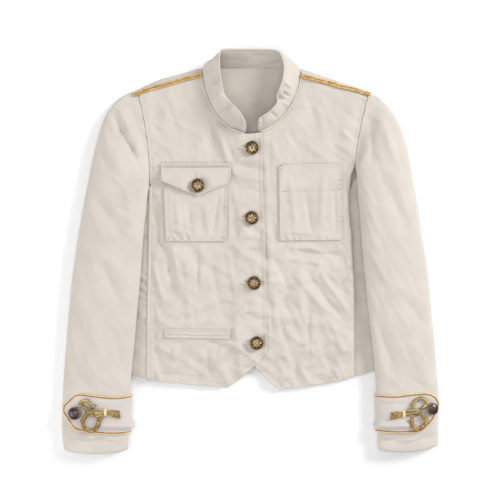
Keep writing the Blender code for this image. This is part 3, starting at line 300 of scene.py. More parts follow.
def line_reach(x, y, line):
    """Distance from a line of points, and the length along it."""
    near = np.full(np.shape(x), 1e9)
    length = np.zeros(np.shape(x))
    run = 0.0
    for (x0, y0), (x1, y1) in zip(line[:-1], line[1:]):
        dx = x1 - x0
        dy = y1 - y0
        long = math.hypot(dx, dy)
        if long < 1e-9:
            continue
        t = np.clip(((x - x0) * dx + (y - y0) * dy) / (long * long), 0.0, 1.0)
        away = np.hypot(x - x0 - t * dx, y - y0 - t * dy)
        closer = away < near
        near = np.where(closer, away, near)
        length = np.where(closer, run + t * long, length)
        run += long
    return near, length


def puckers(x, y, line, reach, pitch, height):
    """Small uneven waves that a sewn seam draws into the cloth beside it."""
    near, length = line_reach(x, y, line)
    length = length + 0.45 * near
    drift = 0.62 * np.sin(length / (pitch * 1.9) + 0.7) + 0.37 * np.sin(length / (pitch * 0.83))
    wave = np.sin(2.0 * np.pi * (length / pitch + drift))
    uneven = np.clip(0.45 + 0.75 * np.sin(length / (pitch * 1.37) + 1.1)
                     * np.sin(length / (pitch * 3.1) + 0.4), 0.0, 1.2)
    spread = reach * (0.75 + 0.6 * uneven)
    held_down = 1.0 - np.exp(-(near / 1.8) ** 2)
    return height * wave * uneven * held_down * np.exp(-(near / spread) ** 2)


def plainness(x, y):
    value = np.zeros(np.shape(x))
    for x_low, x_high, y_low, y_high in PLAIN_PLACES:
        out = np.maximum(np.maximum(x_low - x, x - x_high), np.maximum(y_low - y, y - y_high))
        value = np.maximum(value, 1.0 - smooth((np.maximum(out, 0.0) - 4.0) / 14.0))
    return value


def close_to_pocket(x, y):
    """1 over a pocket itself, falling to 0 within a few millimetres."""
    value = np.zeros(np.shape(x))
    for x_low, x_high, y_low, y_high in PLAIN_PLACES:
        out = np.maximum(np.maximum(x_low - x, x - x_high), np.maximum(y_low - y, y - y_high))
        value = np.maximum(value, 1.0 - smooth(np.maximum(out, 0.0) / 5.0))
    return value


def under_pocket(x, y):
    """1 well inside the pockets, where the front is hidden and pressed down."""
    value = np.zeros(np.shape(x))
    for x_low, x_high, y_low, y_high in PLAIN_PLACES:
        deep = np.minimum(np.minimum(x - x_low, x_high - x), np.minimum(y - y_low, y_high - y))
        value = np.maximum(value, smooth((deep - 5.0) / 10.0))
    return value


SHOULDER = SHOULDER_RIGHT + SHOULDER_LEFT
LEFT_SIDE_UP = sorted(LEFT_SIDE)


def front_form(x, y):
    """Top of the fronts as in the solids, without the small folds."""
    top = BODY_HEIGHT + 1.2 * np.exp(-((x - 4.0) / 110.0) ** 2 - ((y - 60.0) / 120.0) ** 2)
    top = top - 2.2 * (1.0 - smooth((y + 215.0) / 80.0))
    top = top + (1.0 - plainness(x, y)) * folds(x, y, FRONT_FOLDS)
    low_side = (1.0 - smooth((x + 164.0) / 34.0)) * (1.0 - smooth((y - 70.0) / 50.0))
    return top + (LEFT_WRAP_HIGH - top) * low_side


def armhole(top, pit, bow, steps, gap):
    """Points of an armhole seam from the shoulder to the armpit, moved toward the body."""
    points = []
    dx = pit[0] - top[0]
    dy = pit[1] - top[1]
    long = math.hypot(dx, dy)
    side = 1.0 if top[0] < 0.0 else -1.0
    for k in range(steps + 1):
        t = k / steps
        out = bow * 4.0 * t * (1.0 - t) + gap
        points.append((top[0] + t * dx - side * out * dy / long,
                       top[1] + t * dy + side * out * dx / long))
    return points


ARM_RIGHT = armhole(ARM_TOP_RIGHT, ARM_PIT_RIGHT, ARM_BOW_RIGHT, 10, SEAM_CLOSE)
ARM_LEFT = armhole(ARM_TOP_LEFT, ARM_PIT_LEFT, ARM_BOW_LEFT, 8, SEAM_CLOSE)
SIDE_SEAM = [(-161.0, 106.4), (-162.1, 60.0), (-162.9, 4.0), (-164.2, -76.0), (-164.8, -148.0), (-164.8, -204.0)]
LEFT_EDGE = [(x, y) for y, x in LEFT_SIDE]
HEM_LINE = [(-163.2, -202.4), (-94.4, -210.4), (-36.8, -216.8), (4.8, -183.2), (46.4, -220.0), (126.4, -207.2), (164.8, -197.6)]
POCKET_SIDES = [
    [(-140.5, 125.6), (-136.2, 17.8), (-39.0, 17.8), (-36.8, 125.6)],
    [(44.8, 140.6), (45.6, 18.7), (146.7, 20.0), (145.6, 142.6), (44.8, 140.6)],
    [(-140.8, -119.2), (-140.8, -139.0), (-30.4, -140.6), (-30.4, -120.8), (-140.8, -119.2)],
    [(-145.6, 143.2), (-32.0, 143.8)],
]


def beside_seam(x, y):
    """Share of a crease that is left near the side seam, which holds the cloth down."""
    return 1.0 - 0.9 * np.exp(-(line_reach(x, y, SIDE_SEAM)[0] / 6.0) ** 2)


def front_z(x, y):
    """Top of the fronts with every fold, pucker and roll."""
    top = front_form(x, y)
    open_cloth = 1.0 - close_to_pocket(x, y)
    low = smooth((70.0 - y) / 110.0)
    small = (3.2 + 1.9 * low) * folds(x, y, FRONT_CREASES, sharp=True)
    small = small + (1.1 + 1.1 * low) * handling(x, y)
    for line in (ARM_RIGHT, ARM_LEFT):
        small = small + puckers(x, y, line, 8.0, 11.0, 1.4)
    small = small + puckers(x, y, SIDE_SEAM, 10.0, 12.0, 1.4)
    small = small + puckers(x, y, LEFT_EDGE, 8.0, 13.0, 1.3)
    small = small + puckers(x, y, HEM_LINE, 12.0, 13.0, 1.3)
    for line in POCKET_SIDES:
        small = small + puckers(x, y, line, 9.0, 10.0, 0.9)
    small = small * beside_seam(x, y)
    top = top + small * open_cloth - 2.6 * under_pocket(x, y)
    down = along(SHOULDER, x) - y
    top = RIM_BOTTOM + (top - RIM_BOTTOM) * quarter(down / SHOULDER_ROLL)
    rolled = np.where(x > 0.0, smooth((ARM_PIT_LEFT[1] - 2.0 - y) / 30.0), 0.0)
    rim = RIGHT_WRAP_TOP + SEAM_GAP + RIM_TILT
    edge = along(LEFT_SIDE_UP, y)
    turned = rim + (top - rim) * quarter((edge - x) / SIDE_ROLL)
    return top + (turned - top) * rolled


def top_front_z(x, y):
    """Top of the wearer's right front, which lies over the left one."""
    return front_z(x, y) + LAP_LIFT * smooth((x + 33.5) / 18.0)


def outline_points(rows, step):
    """Smooth curve through x, y, corner rows, closed, with its corners kept."""
    count = len(rows)
    points = []
    for i in range(count):
        x0, y0, corner0 = rows[i]
        x1, y1, corner1 = rows[(i + 1) % count]
        before = rows[(i - 1) % count]
        after = rows[(i + 2) % count]
        tangent0 = (x1 - x0, y1 - y0) if corner0 else ((x1 - before[0]) / 2, (y1 - before[1]) / 2)
        tangent1 = (x1 - x0, y1 - y0) if corner1 else ((after[0] - x0) / 2, (after[1] - y0) / 2)
        long = math.hypot(x1 - x0, y1 - y0)
        scale0 = min(1.0, long / max(math.hypot(*tangent0), 1e-6))
        scale1 = min(1.0, long / max(math.hypot(*tangent1), 1e-6))
        parts = max(1, round(long / step))
        for k in range(parts):
            t = k / parts
            a = 2 * t ** 3 - 3 * t ** 2 + 1
            b = (t ** 3 - 2 * t ** 2 + t) * scale0
            c = -2 * t ** 3 + 3 * t ** 2
            d = (t ** 3 - t ** 2) * scale1
            points.append((
                a * x0 + b * tangent0[0] + c * x1 + d * tangent1[0],
                a * y0 + b * tangent0[1] + c * y1 + d * tangent1[1],
            ))
    return points


def inside(x, y, ring):
    """Whether points lie in a closed outline."""
    odd = np.zeros(np.shape(x), dtype=bool)
    for i, (x0, y0) in enumerate(ring):
        x1, y1 = ring[(i + 1) % len(ring)]
        if y0 == y1:
            continue
        crossed = ((y0 > y) != (y1 > y)) & (x < x0 + (y - y0) * (x1 - x0) / (y1 - y0))
        odd ^= crossed
    return odd


def cloth_mesh(name, points, faces, finish):
    """A mesh from millimetre points in the jacket's frame, smooth, in its finish."""
    placed = (np.array(points, dtype=float) + (MIDDLE_X, MIDDLE_Y, 0.0)) / 1000.0
    mesh = bpy.data.meshes.new(name)
    mesh.from_pydata([tuple(p) for p in placed], [], faces)
    mesh.validate()
    mesh.shade_smooth()
    mesh.materials.append(finish)
    piece = bpy.data.objects.new(name, mesh)
    bpy.context.scene.collection.objects.link(piece)
    return piece


def inset_row(outline, depth):
    """Row of points at a depth inside an outline."""
    ring = np.array(outline)
    ahead = np.roll(ring, -1, axis=0) - np.roll(ring, 1, axis=0)
    ahead /= np.maximum(np.linalg.norm(ahead, axis=1), 1e-9)[:, None]
    area = np.sum(ring[:, 0] * np.roll(ring[:, 1], -1) - np.roll(ring[:, 0], -1) * ring[:, 1])
    turn = 1.0 if area > 0.0 else -1.0
    row = ring + np.stack((-ahead[:, 1], ahead[:, 0]), axis=1) * depth * turn
    near, length = line_reach(row[:, 0], row[:, 1], outline + outline[:1])
    return row[(near > 0.93 * depth) & inside(row[:, 0], row[:, 1], outline)]


def cut_panel(name, outline, surface, thickness, step, finish, rows=(), round_edge=0.45, lift=0.0,
              bare=None):
    """A cut piece with turned edges, laid on surface(s, t), which gives x, y, z arrays."""
    closed = outline + outline[:1]
    spots = [np.array(outline)]
    for depth in (0.4, 1.2):
        spots.append(inset_row(outline, depth))
    for row in rows:
        row = np.array(row)
        near, length = line_reach(row[:, 0], row[:, 1], closed)
        spots.append(row[(near > 1.6) & inside(row[:, 0], row[:, 1], outline)])
    ring = np.array(outline)
    count_s = int((ring[:, 0].max() - ring[:, 0].min()) / step) + 2
    count_t = int((ring[:, 1].max() - ring[:, 1].min()) / (step * 0.866)) + 2
    j, i = np.meshgrid(np.arange(count_t), np.arange(count_s))
    s = ring[:, 0].min() + (i + 0.5 * (j % 2)) * step
    t = ring[:, 1].min() + j * step * 0.866
    s = s.ravel()
    t = t.ravel()
    near, length = line_reach(s, t, closed)
    keep = (near > 1.2 + 0.5 * step) & inside(s, t, outline)
    if bare is not None:
        keep &= ~bare(s, t)
    s = s[keep]
    t = t[keep]
    sewn = np.concatenate(spots[3:]) if len(spots) > 3 else np.zeros((0, 2))
    if len(sewn):
        grid = set()
        for p, q in sewn:
            cell = (int(p // step), int(q // step))
            for a in (-1, 0, 1):
                for b in (-1, 0, 1):
                    grid.add((cell[0] + a, cell[1] + b))
        free = []
        for p, q in zip(s, t):
            if (int(p // step), int(q // step)) not in grid:
                free.append(True)
                continue
            gap = np.hypot(sewn[:, 0] - p, sewn[:, 1] - q).min()
            free.append(gap > 0.5 * step)
        free = np.array(free)
        s = s[free]
        t = t[free]
    spots.append(np.stack((s, t), axis=1))
    spots = np.concatenate(spots)
    loop = [(k, (k + 1) % len(outline)) for k in range(len(outline))]
    flat, edges, triangles = delaunay_2d_cdt([Vector(p) for p in spots], loop, [], 1, 1e-5)[:3]
    flat = np.array([(p[0], p[1]) for p in flat])
    s, t = flat[:, 0], flat[:, 1]
    face = np.stack(surface(s, t), axis=1)
    ds = np.stack(surface(s + 0.3, t), axis=1) - np.stack(surface(s - 0.3, t), axis=1)
    dt = np.stack(surface(s, t + 0.3), axis=1) - np.stack(surface(s, t - 0.3), axis=1)
    normal = np.cross(ds, dt)
    normal /= np.linalg.norm(normal, axis=1)[:, None]
    near, length = line_reach(s, t, closed)
    turned = round_edge * (1.0 - quarter(near / 1.2))
    outer = face + normal * (lift + thickness - turned)[:, None]
    inner = face + normal * (lift + 0.35 * turned)[:, None]
    count = len(flat)
    triangles = np.array(triangles)
    a, b, c = (flat[triangles[:, k]] for k in range(3))
    twice = (b[:, 0] - a[:, 0]) * (c[:, 1] - a[:, 1]) - (b[:, 1] - a[:, 1]) * (c[:, 0] - a[:, 0])
    triangles[twice < 0] = triangles[twice < 0][:, ::-1]
    rim = set()
    for p, q, r in triangles:
        rim.update(((p, q), (q, r), (r, p)))
    faces = [(int(p), int(q), int(r)) for p, q, r in triangles]
    faces += [(int(r) + count, int(q) + count, int(p) + count) for p, q, r in triangles]
    for p, q in rim:
        if (q, p) not in rim:
            faces.append((int(q), int(p), int(p) + count, int(q) + count))
    return cloth_mesh(name, np.concatenate((outer, inner)), faces, finish)


def twill(name, colour, pitch=0.0011, soil=0.05, rough=0.88):
    """Cotton twill: fine diagonal ribs, uneven yarn, faint mottling of washed cloth, and painted shade in the
    ribs' furrows.
    """
    finish = bpy.data.materials.new(name)
    finish.use_nodes = True
    nodes = finish.node_tree.nodes
    links = finish.node_tree.links
    shader = nodes["Principled BSDF"]
    shader.inputs["Roughness"].default_value = rough
    shader.inputs["Specular IOR Level"].default_value = 0.25
    shader.inputs["Sheen Weight"].default_value = 0.12
    shader.inputs["Sheen Roughness"].default_value = 0.6
    place = nodes.new("ShaderNodeTexCoord")
    turn = nodes.new("ShaderNodeMapping")
    turn.inputs["Rotation"].default_value = (0.0, 0.0, math.radians(63.0))
    links.new(place.outputs["Object"], turn.inputs["Vector"])
    ribs = nodes.new("ShaderNodeTexWave")
    ribs.wave_type = "BANDS"
    ribs.inputs["Scale"].default_value = 0.314 / pitch
    ribs.inputs["Distortion"].default_value = 1.6
    ribs.inputs["Detail"].default_value = 1.0
    ribs.inputs["Detail Scale"].default_value = 0.6
    links.new(turn.outputs["Vector"], ribs.inputs["Vector"])
    yarn = nodes.new("ShaderNodeTexNoise")
    yarn.inputs["Scale"].default_value = 900.0
    yarn.inputs["Detail"].default_value = 2.0
    links.new(place.outputs["Object"], yarn.inputs["Vector"])
    weave = nodes.new("ShaderNodeMix")
    weave.data_type = "FLOAT"
    weave.inputs["Factor"].default_value = 0.45
    links.new(ribs.outputs["Fac"], weave.inputs["A"])
    links.new(yarn.outputs["Fac"], weave.inputs["B"])
    crumple = nodes.new("ShaderNodeTexNoise")
    crumple.inputs["Scale"].default_value = 95.0
    crumple.inputs["Detail"].default_value = 4.0
    crumple.inputs["Roughness"].default_value = 0.55
    links.new(place.outputs["Object"], crumple.inputs["Vector"])
    fine = nodes.new("ShaderNodeBump")
    fine.inputs["Strength"].default_value = 0.35
    fine.inputs["Distance"].default_value = 0.00025
    links.new(weave.outputs["Result"], fine.inputs["Height"])
    broad = nodes.new("ShaderNodeBump")
    broad.inputs["Strength"].default_value = 0.5
    broad.inputs["Distance"].default_value = 0.0009
    links.new(crumple.outputs["Fac"], broad.inputs["Height"])
    links.new(fine.outputs["Normal"], broad.inputs["Normal"])
    links.new(broad.outputs["Normal"], shader.inputs["Normal"])
    mottle = nodes.new("ShaderNodeTexNoise")
    mottle.inputs["Scale"].default_value = 26.0
    mottle.inputs["Detail"].default_value = 5.0
    links.new(place.outputs["Object"], mottle.inputs["Vector"])
    shades = nodes.new("ShaderNodeValToRGB")
    shades.color_ramp.elements[0].position = 0.3
    shades.color_ramp.elements[1].position = 0.7
    low = tuple(channel * (1.0 - soil) for channel in colour)
    high = tuple(min(1.0, channel * (1.0 + 0.6 * soil)) for channel in colour)
    shades.color_ramp.elements[0].color = (*low, 1.0)
    shades.color_ramp.elements[1].color = (*high, 1.0)
    links.new(mottle.outputs["Fac"], shades.inputs["Fac"])
    # The weave multiplied into the colour: painted shade in the furrows of its bump, with some uneven yarn tone.
    furrow = nodes.new("ShaderNodeMix")
    furrow.data_type = "RGBA"
    furrow.blend_type = "MULTIPLY"
    furrow.inputs["Factor"].default_value = 0.16
    links.new(shades.outputs["Color"], furrow.inputs["A"])
    links.new(weave.outputs["Result"], furrow.inputs["B"])
    links.new(furrow.outputs["Result"], shader.inputs["Base Color"])
    return finish


ecru_twill = twill("ecru_twill", (0.665, 0.608, 0.545))


def thread_finish(name, colour):
    """Spun cotton thread, with a fine twist in its bump."""
    finish = bpy.data.materials.new(name)
    finish.use_nodes = True
    nodes = finish.node_tree.nodes
    links = finish.node_tree.links
    shader = nodes["Principled BSDF"]
    shader.inputs["Roughness"].default_value = 0.7
    shade = nodes.new("ShaderNodeTexNoise")
    shade.inputs["Scale"].default_value = 400.0
    tint = nodes.new("ShaderNodeValToRGB")
    tint.color_ramp.elements[0].color = (*(channel * 0.85 for channel in colour), 1.0)
    tint.color_ramp.elements[1].color = (*colour, 1.0)
    links.new(shade.outputs["Fac"], tint.inputs["Fac"])
    links.new(tint.outputs["Color"], shader.inputs["Base Color"])
    lumps = nodes.new("ShaderNodeBump")
    lumps.inputs["Strength"].default_value = 0.4
    lumps.inputs["Distance"].default_value = 0.0001
    links.new(shade.outputs["Fac"], lumps.inputs["Height"])
    links.new(lumps.outputs["Normal"], shader.inputs["Normal"])
    return finish


ecru_thread = thread_finish("ecru_thread", (0.76, 0.69, 0.60))


def offset_line(line, depth):
    """A line moved sideways, to its left for a positive depth."""
    points = np.array(line, dtype=float)
    ahead = np.gradient(points, axis=0)
    ahead /= np.maximum(np.linalg.norm(ahead, axis=1), 1e-9)[:, None]
    return points + np.stack((-ahead[:, 1], ahead[:, 0]), axis=1) * depth


def even_line(line, step):
    """The same line with points at an even step."""
    points = np.array(line, dtype=float)
    runs = np.concatenate(([0.0], np.cumsum(np.linalg.norm(np.diff(points, axis=0), axis=1))))
    count = max(2, int(round(runs[-1] / step)) + 1)
    marks = np.linspace(0.0, runs[-1], count)
    return np.stack([np.interp(marks, runs, points[:, k]) for k in range(points.shape[1])], axis=1)


def stitches(name, places, ups, finish, body="root", long=2.3, gap=1.2, thick=0.5):
    """Sewn rows: each row of places in space becomes a run of short lying threads."""
    points = []
    faces = []
    for row, up_row in zip(places, ups):
        row = np.array(row)
        up_row = np.array(up_row)
        runs = np.concatenate(([0.0], np.cumsum(np.linalg.norm(np.diff(row, axis=0), axis=1))))
        mark = 0.5 * gap
        while mark + long < runs[-1]:
            ends = [np.array([np.interp(m, runs, row[:, k]) for k in range(3)])
                    for m in (mark, mark + long)]
            up = np.array([np.interp(mark + 0.5 * long, runs, up_row[:, k]) for k in range(3)])
            up /= np.linalg.norm(up)
            ahead = ends[1] - ends[0]
            ahead /= max(np.linalg.norm(ahead), 1e-9)
            side = np.cross(ahead, up)
            first = len(points)
            middle = 0.5 * (ends[0] + ends[1]) + up * thick * 0.55
            points.append(ends[0] - up * 0.25 * thick)
            for share in (-0.38, 0.38):
                for k in range(6):
                    angle = math.pi * k / 3.0
                    points.append(middle + ahead * share * long
                                  + (side * math.cos(angle) + up * math.sin(angle)) * thick)
            points.append(ends[1] - up * 0.25 * thick)
            for k in range(6):
                a = first + 1 + k
                b = first + 1 + (k + 1) % 6
                faces.append((first, b, a))
                faces.append((a, b, b + 6, a + 6))
                faces.append((first + 13, a + 6, b + 6))
            mark += long + gap
    piece = cloth_mesh(name, points, faces, finish)
    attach(piece, body)
    return piece


def row_on(surface, line, lift=0.0):
    """Places in space and upward directions of a row sewn on a surface."""
    line = even_line(line, 1.5)
    x, y = line[:, 0], line[:, 1]
    places = np.stack(surface(x, y), axis=1)
    ds = np.stack(surface(x + 0.4, y), axis=1) - np.stack(surface(x - 0.4, y), axis=1)
    dt = np.stack(surface(x, y + 0.4), axis=1) - np.stack(surface(x, y - 0.4), axis=1)
    up = np.cross(ds, dt) + (0.0, 0.0, 1e-6)
    up /= np.linalg.norm(up, axis=1)[:, None]
    return places + up * lift, up


def sewn_dent(x, y, lines, half=1.2, depth=0.65):
    """The narrow furrow that a row of stitches pulls into the cloth."""
    total = np.zeros(np.shape(x))
    for line in lines:
        near, length = line_reach(x, y, [tuple(p) for p in line])
        total += depth * np.exp(-(near / half) ** 2)
    return total


# Sewn rows of the fronts: closing edges, hems and armholes
CLOSING_EDGE = [(18.2, 189.6), (18.6, 148.0), (19.7, 92.0), (21.4, 52.0), (22.7, 4.0),
                (25.0, -76.0), (25.1, -159.2)]
CLOSING_ROW = offset_line(CLOSING_EDGE, -6.5)
POINT_ROW = offset_line([(24.0, -162.4), (4.8, -182.2), (-16.0, -199.8), (-35.8, -215.8)], -6.5)
HEM_ROW_RIGHT = offset_line([(-38.4, -216.8), (-62.4, -214.6), (-94.4, -211.4), (-129.6, -208.2), (-163.2, -205.6)], -14.0)
HEM_ROW_LEFT = offset_line([(47.2, -220.0), (84.8, -214.2), (126.4, -208.2), (164.8, -199.2)], 14.0)
POINT_ROW_LEFT = offset_line([(6.4, -183.8), (25.6, -201.8), (44.8, -219.4)], 6.5)
ARM_ROW_RIGHT = offset_line(ARM_RIGHT, 5.0)
ARM_ROW_LEFT = offset_line(ARM_LEFT, -5.0)
right_rows = [CLOSING_ROW, POINT_ROW, HEM_ROW_RIGHT, ARM_ROW_RIGHT]
left_rows = [HEM_ROW_LEFT, POINT_ROW_LEFT, ARM_ROW_LEFT]


def turned_edge(x, y, line):
    """The folded allowance that makes the edge of a piece thick."""
    near = line_reach(x, y, line)[0]
    return 1.2 * np.exp(-(near / 3.2) ** 2)


def right_front_face(x, y):
    edge = turned_edge(x, y, CLOSING_EDGE)
    return x, y, top_front_z(x, y) + edge - sewn_dent(x, y, right_rows)


def left_front_face(x, y):
    return x, y, front_z(x, y) - sewn_dent(x, y, left_rows)


def furrow_rows(lines):
    """Rows of mesh points in and beside each sewn row, so that its furrow is crisp."""
    rows = []
    for line in lines:
        line = even_line(line, 2.2)
        rows += [line, offset_line(line, 1.2), offset_line(line, -1.2)]
    return rows


def rows_below(line, depths, step):
    points = []
    low = line[0][0]
    high = line[-1][0]
    for depth in depths:
        count = max(2, round((high - low) / step))
        x = np.linspace(low, high, count + 1)
        points.append(np.stack((x, along(line, x) - depth), axis=1))
    return points


shoulder_rows = [(x, y, 1) for x, y in SHOULDER_RIGHT[5:-1]]
shoulder_rows.reverse()
arm_rows = [(x, y, 1 if k in (0, 10) else 0) for k, (x, y) in enumerate(ARM_RIGHT)]
right_outline = outline_points(RIGHT_FRONT_LOWER + shoulder_rows + arm_rows, 2.4)
front_right = cut_panel(
    "front_right_cloth", right_outline, right_front_face, CLOTH, FRONT_STEP, ecru_twill,
    rows=furrow_rows(right_rows) + rows_below(SHOULDER_RIGHT[4:], (2.4, 4.2), 2.6), lift=-CLOTH)
arm_rows = [(x, y, 1 if k in (0, 8) else 0) for k, (x, y) in enumerate(ARM_LEFT)]
arm_rows.reverse()
side_rows = [(x, y, 1) for y, x in LEFT_SIDE[1:-1]]
shoulder_rows = [(x, y, 1) for x, y in SHOULDER_LEFT[1:4]]
shoulder_rows.reverse()
left_outline = outline_points(LEFT_FRONT_NECK + side_rows + arm_rows + shoulder_rows, 2.4)
left_roll = []
for depth in (2.2, 3.6, 5.4):
    y = np.linspace(LEFT_SIDE[0][0] + 2.0, ARM_PIT_LEFT[1] - 4.0, 140)
    left_roll.append(np.stack((along(LEFT_SIDE_UP, y) - depth, y), axis=1))
front_left = cut_panel(
    "front_left_cloth", left_outline, left_front_face, CLOTH, FRONT_STEP, ecru_twill,
    rows=furrow_rows(left_rows) + rows_below(SHOULDER_LEFT[:5], (2.4, 4.2), 2.6) + left_roll,
    lift=-CLOTH)
for piece, node, flat, area in (
        (front_right, "front_right", (0.212, 0.520), 0.0900),
        (front_left, "front_left", (0.214, 0.522), 0.0920)):
    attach(piece, "root")
    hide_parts(node)

sewn = [row_on(right_front_face, line, 0.05) for line in right_rows]
sewn += [row_on(left_front_face, line, 0.05) for line in left_rows]
stitches("front_stitches", [row[0] for row in sewn], [row[1] for row in sewn], ecru_thread)


def seam_ribbon(name, line, height, below=0.5, wide=3.0):
    """The pressed allowance inside a seam, which closes the narrow gap between two pieces."""
    line = even_line(line, 3.0)
    x, y = line[:, 0], line[:, 1]
    ahead = np.gradient(line, axis=0)
    ahead /= np.linalg.norm(ahead, axis=1)[:, None]
    side = np.stack((-ahead[:, 1], ahead[:, 0], np.zeros(len(line))), axis=1)
    middle = np.stack((x, y, height(x, y) - below), axis=1)
    points = np.concatenate([middle + side * s * wide + np.array((0.0, 0.0, z))
                             for s, z in ((-1, -0.25), (0, 0.0), (1, -0.25),
                                          (1, -0.75), (0, -0.6), (-1, -0.75))])
    count = len(line)
    faces = []
    for k in range(count - 1):
        for j in range(6):
            a = j * count + k
            b = (j + 1) % 6 * count + k
            faces.append((a, b, b + 1, a + 1))
    faces.append(tuple(j * count for j in reversed(range(6))))
    faces.append(tuple(j * count + count - 1 for j in range(6)))
    piece = cloth_mesh(name, points, faces, ecru_twill)
    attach(piece, "root")


seam_ribbon("side_seam_allowance", SIDE_SEAM, lambda x, y: front_z(x + 1.0, y), -0.9)


# The back: one piece of the same twill. It lies flat under the fronts and turns round
# both sides, up to the side seams, low on the wearer's left and as high as the front on
# the right. Its hem is turned up and sewn like theirs.
LEFT_WRAP_LOW = 5.2
FOLD_LEFT_X = -198.6
FOLD_RIGHT_X = 210.6
FOLD_RADIUS = 2.5
HALF_TURN = math.pi * FOLD_RADIUS
LEFT_CENTRE = FOLD_LEFT_X + FOLD_RADIUS
RIGHT_CENTRE = FOLD_RIGHT_X - FOLD_RADIUS
BACK_NECK = [
    (-78.1, 295.5, 1), (-68.8, 294.9, 0), (-57.6, 297.0, 0), (-46.4, 297.6, 0),
    (-4.8, 297.6, 0), (33.6, 297.6, 0), (56.0, 297.0, 0), (67.2, 295.4, 0),
    (79.7, 294.6, 1),
]
BACK_HEM = [
    (211.2, -183.2), (166.4, -197.6), (110.4, -199.2), (54.4, -186.4),
    (4.8, -176.8), (-49.6, -184.8), (-105.6, -196.0), (-163.2, -202.4),
    (-192.0, -193.8), (-200.0, -191.2),
]


def back_face(s, t):
    """Outer face of the back for a place on the flat cloth."""
    past = np.maximum(LEFT_CENTRE - s, s - RIGHT_CENTRE)
    left = s < 0.0
    angle = np.clip(past, 0.0, HALF_TURN) / FOLD_RADIUS
    over = np.maximum(past - HALF_TURN, 0.0)
    x_fold = np.where(left, LEFT_CENTRE - FOLD_RADIUS * np.sin(angle) + over,
                      RIGHT_CENTRE + FOLD_RADIUS * np.sin(angle) - over)
    z_fold = FOLD_RADIUS * (1.0 - np.cos(angle))
    rise = np.where(left, (LEFT_WRAP_HIGH - 2.0 * FOLD_RADIUS) * smooth(over / 33.0), 0.0)
    x = np.where(past > 0.0, x_fold, s)
    z = np.where(past > 0.0, z_fold + rise, 0.0)
    crumpled = smooth(over / 6.0) * (
        0.8 * handling(x * 1.3, t * 1.3) + puckers(x, t, SIDE_SEAM, 14.0, 12.0, 2.2)
        + puckers(x, t, LEFT_EDGE, 14.0, 19.0, 0.5))
    crumpled = np.where(left, crumpled * beside_seam(x, t), np.minimum(crumpled, 0.25))
    return x, t, z + crumpled


def wrap_s_right(x):
    return LEFT_CENTRE - HALF_TURN - (x - LEFT_CENTRE)


def wrap_s_left(x):
    return RIGHT_CENTRE + HALF_TURN + (RIGHT_CENTRE - x)


back_rows = list(BACK_NECK)
back_rows += [(x, y, 0) for x, y in SHOULDER_LEFT[1:4]]
back_rows += [(x, y, 1 if k in (0, 8) else 0) for k, (x, y) in enumerate(ARM_LEFT)]
back_rows += [
    (RIGHT_CENTRE, 95.2, 1), (RIGHT_CENTRE + HALF_TURN, 95.2, 1),
    (wrap_s_left(169.6), 122.4, 1),
]
for y, x in reversed(LEFT_SIDE[:-3]):
    back_rows.append((wrap_s_left(x - 5.0), y, 0))
back_rows[-1] = (wrap_s_left(161.6), -199.2, 1)
back_rows += [
    (wrap_s_left(184.0), -194.4, 0), (RIGHT_CENTRE + HALF_TURN, -184.8, 1),
    (RIGHT_CENTRE, -184.8, 1),
]
back_rows += [(x, y, 0) for x, y in BACK_HEM[1:-2]]
back_rows += [
    (LEFT_CENTRE, -192.2, 1), (LEFT_CENTRE - HALF_TURN, -192.2, 1),
    (wrap_s_right(-185.6), -196.6, 0), (wrap_s_right(-164.8), -203.4, 1),
    (wrap_s_right(-165.0), -148.0, 0), (wrap_s_right(-164.3), -76.0, 0),
    (wrap_s_right(-163.0), 4.0, 0), (wrap_s_right(-162.2), 60.0, 0),
    (wrap_s_right(-161.9), 93.6, 1), (LEFT_CENTRE - HALF_TURN, 76.0, 1),
    (LEFT_CENTRE, 76.0, 1),
]
arm_rows = [(x, y, 1 if k in (0, 10) else 0) for k, (x, y) in enumerate(ARM_RIGHT)]
arm_rows.reverse()
back_rows += arm_rows
back_rows += [(x, y, 0) for x, y in SHOULDER_RIGHT[5:-1]]


def beside_fold(s, t):
    return ((np.abs(s - LEFT_CENTRE + 0.5 * HALF_TURN) < 0.5 * HALF_TURN + 1.5)
            | (np.abs(s - RIGHT_CENTRE - 0.5 * HALF_TURN) < 0.5 * HALF_TURN + 1.5))


fold_rows = []
for turn in range(9):
    y = np.arange(-182.0, 74.0, 3.4)
    fold_rows.append(np.stack((np.full(len(y), LEFT_CENTRE - HALF_TURN * turn / 8.0), y), axis=1))
    y = np.arange(-182.0, 94.0, 3.4)
    fold_rows.append(np.stack((np.full(len(y), RIGHT_CENTRE + HALF_TURN * turn / 8.0), y), axis=1))
back = cut_panel("back_cloth", outline_points(back_rows, 3.2), back_face, CLOTH, 4.4, ecru_twill,
                 rows=fold_rows, bare=beside_fold, round_edge=0.0)
BACK_FLIP = True
back.data.flip_normals()
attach(back, "root")
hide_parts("back")


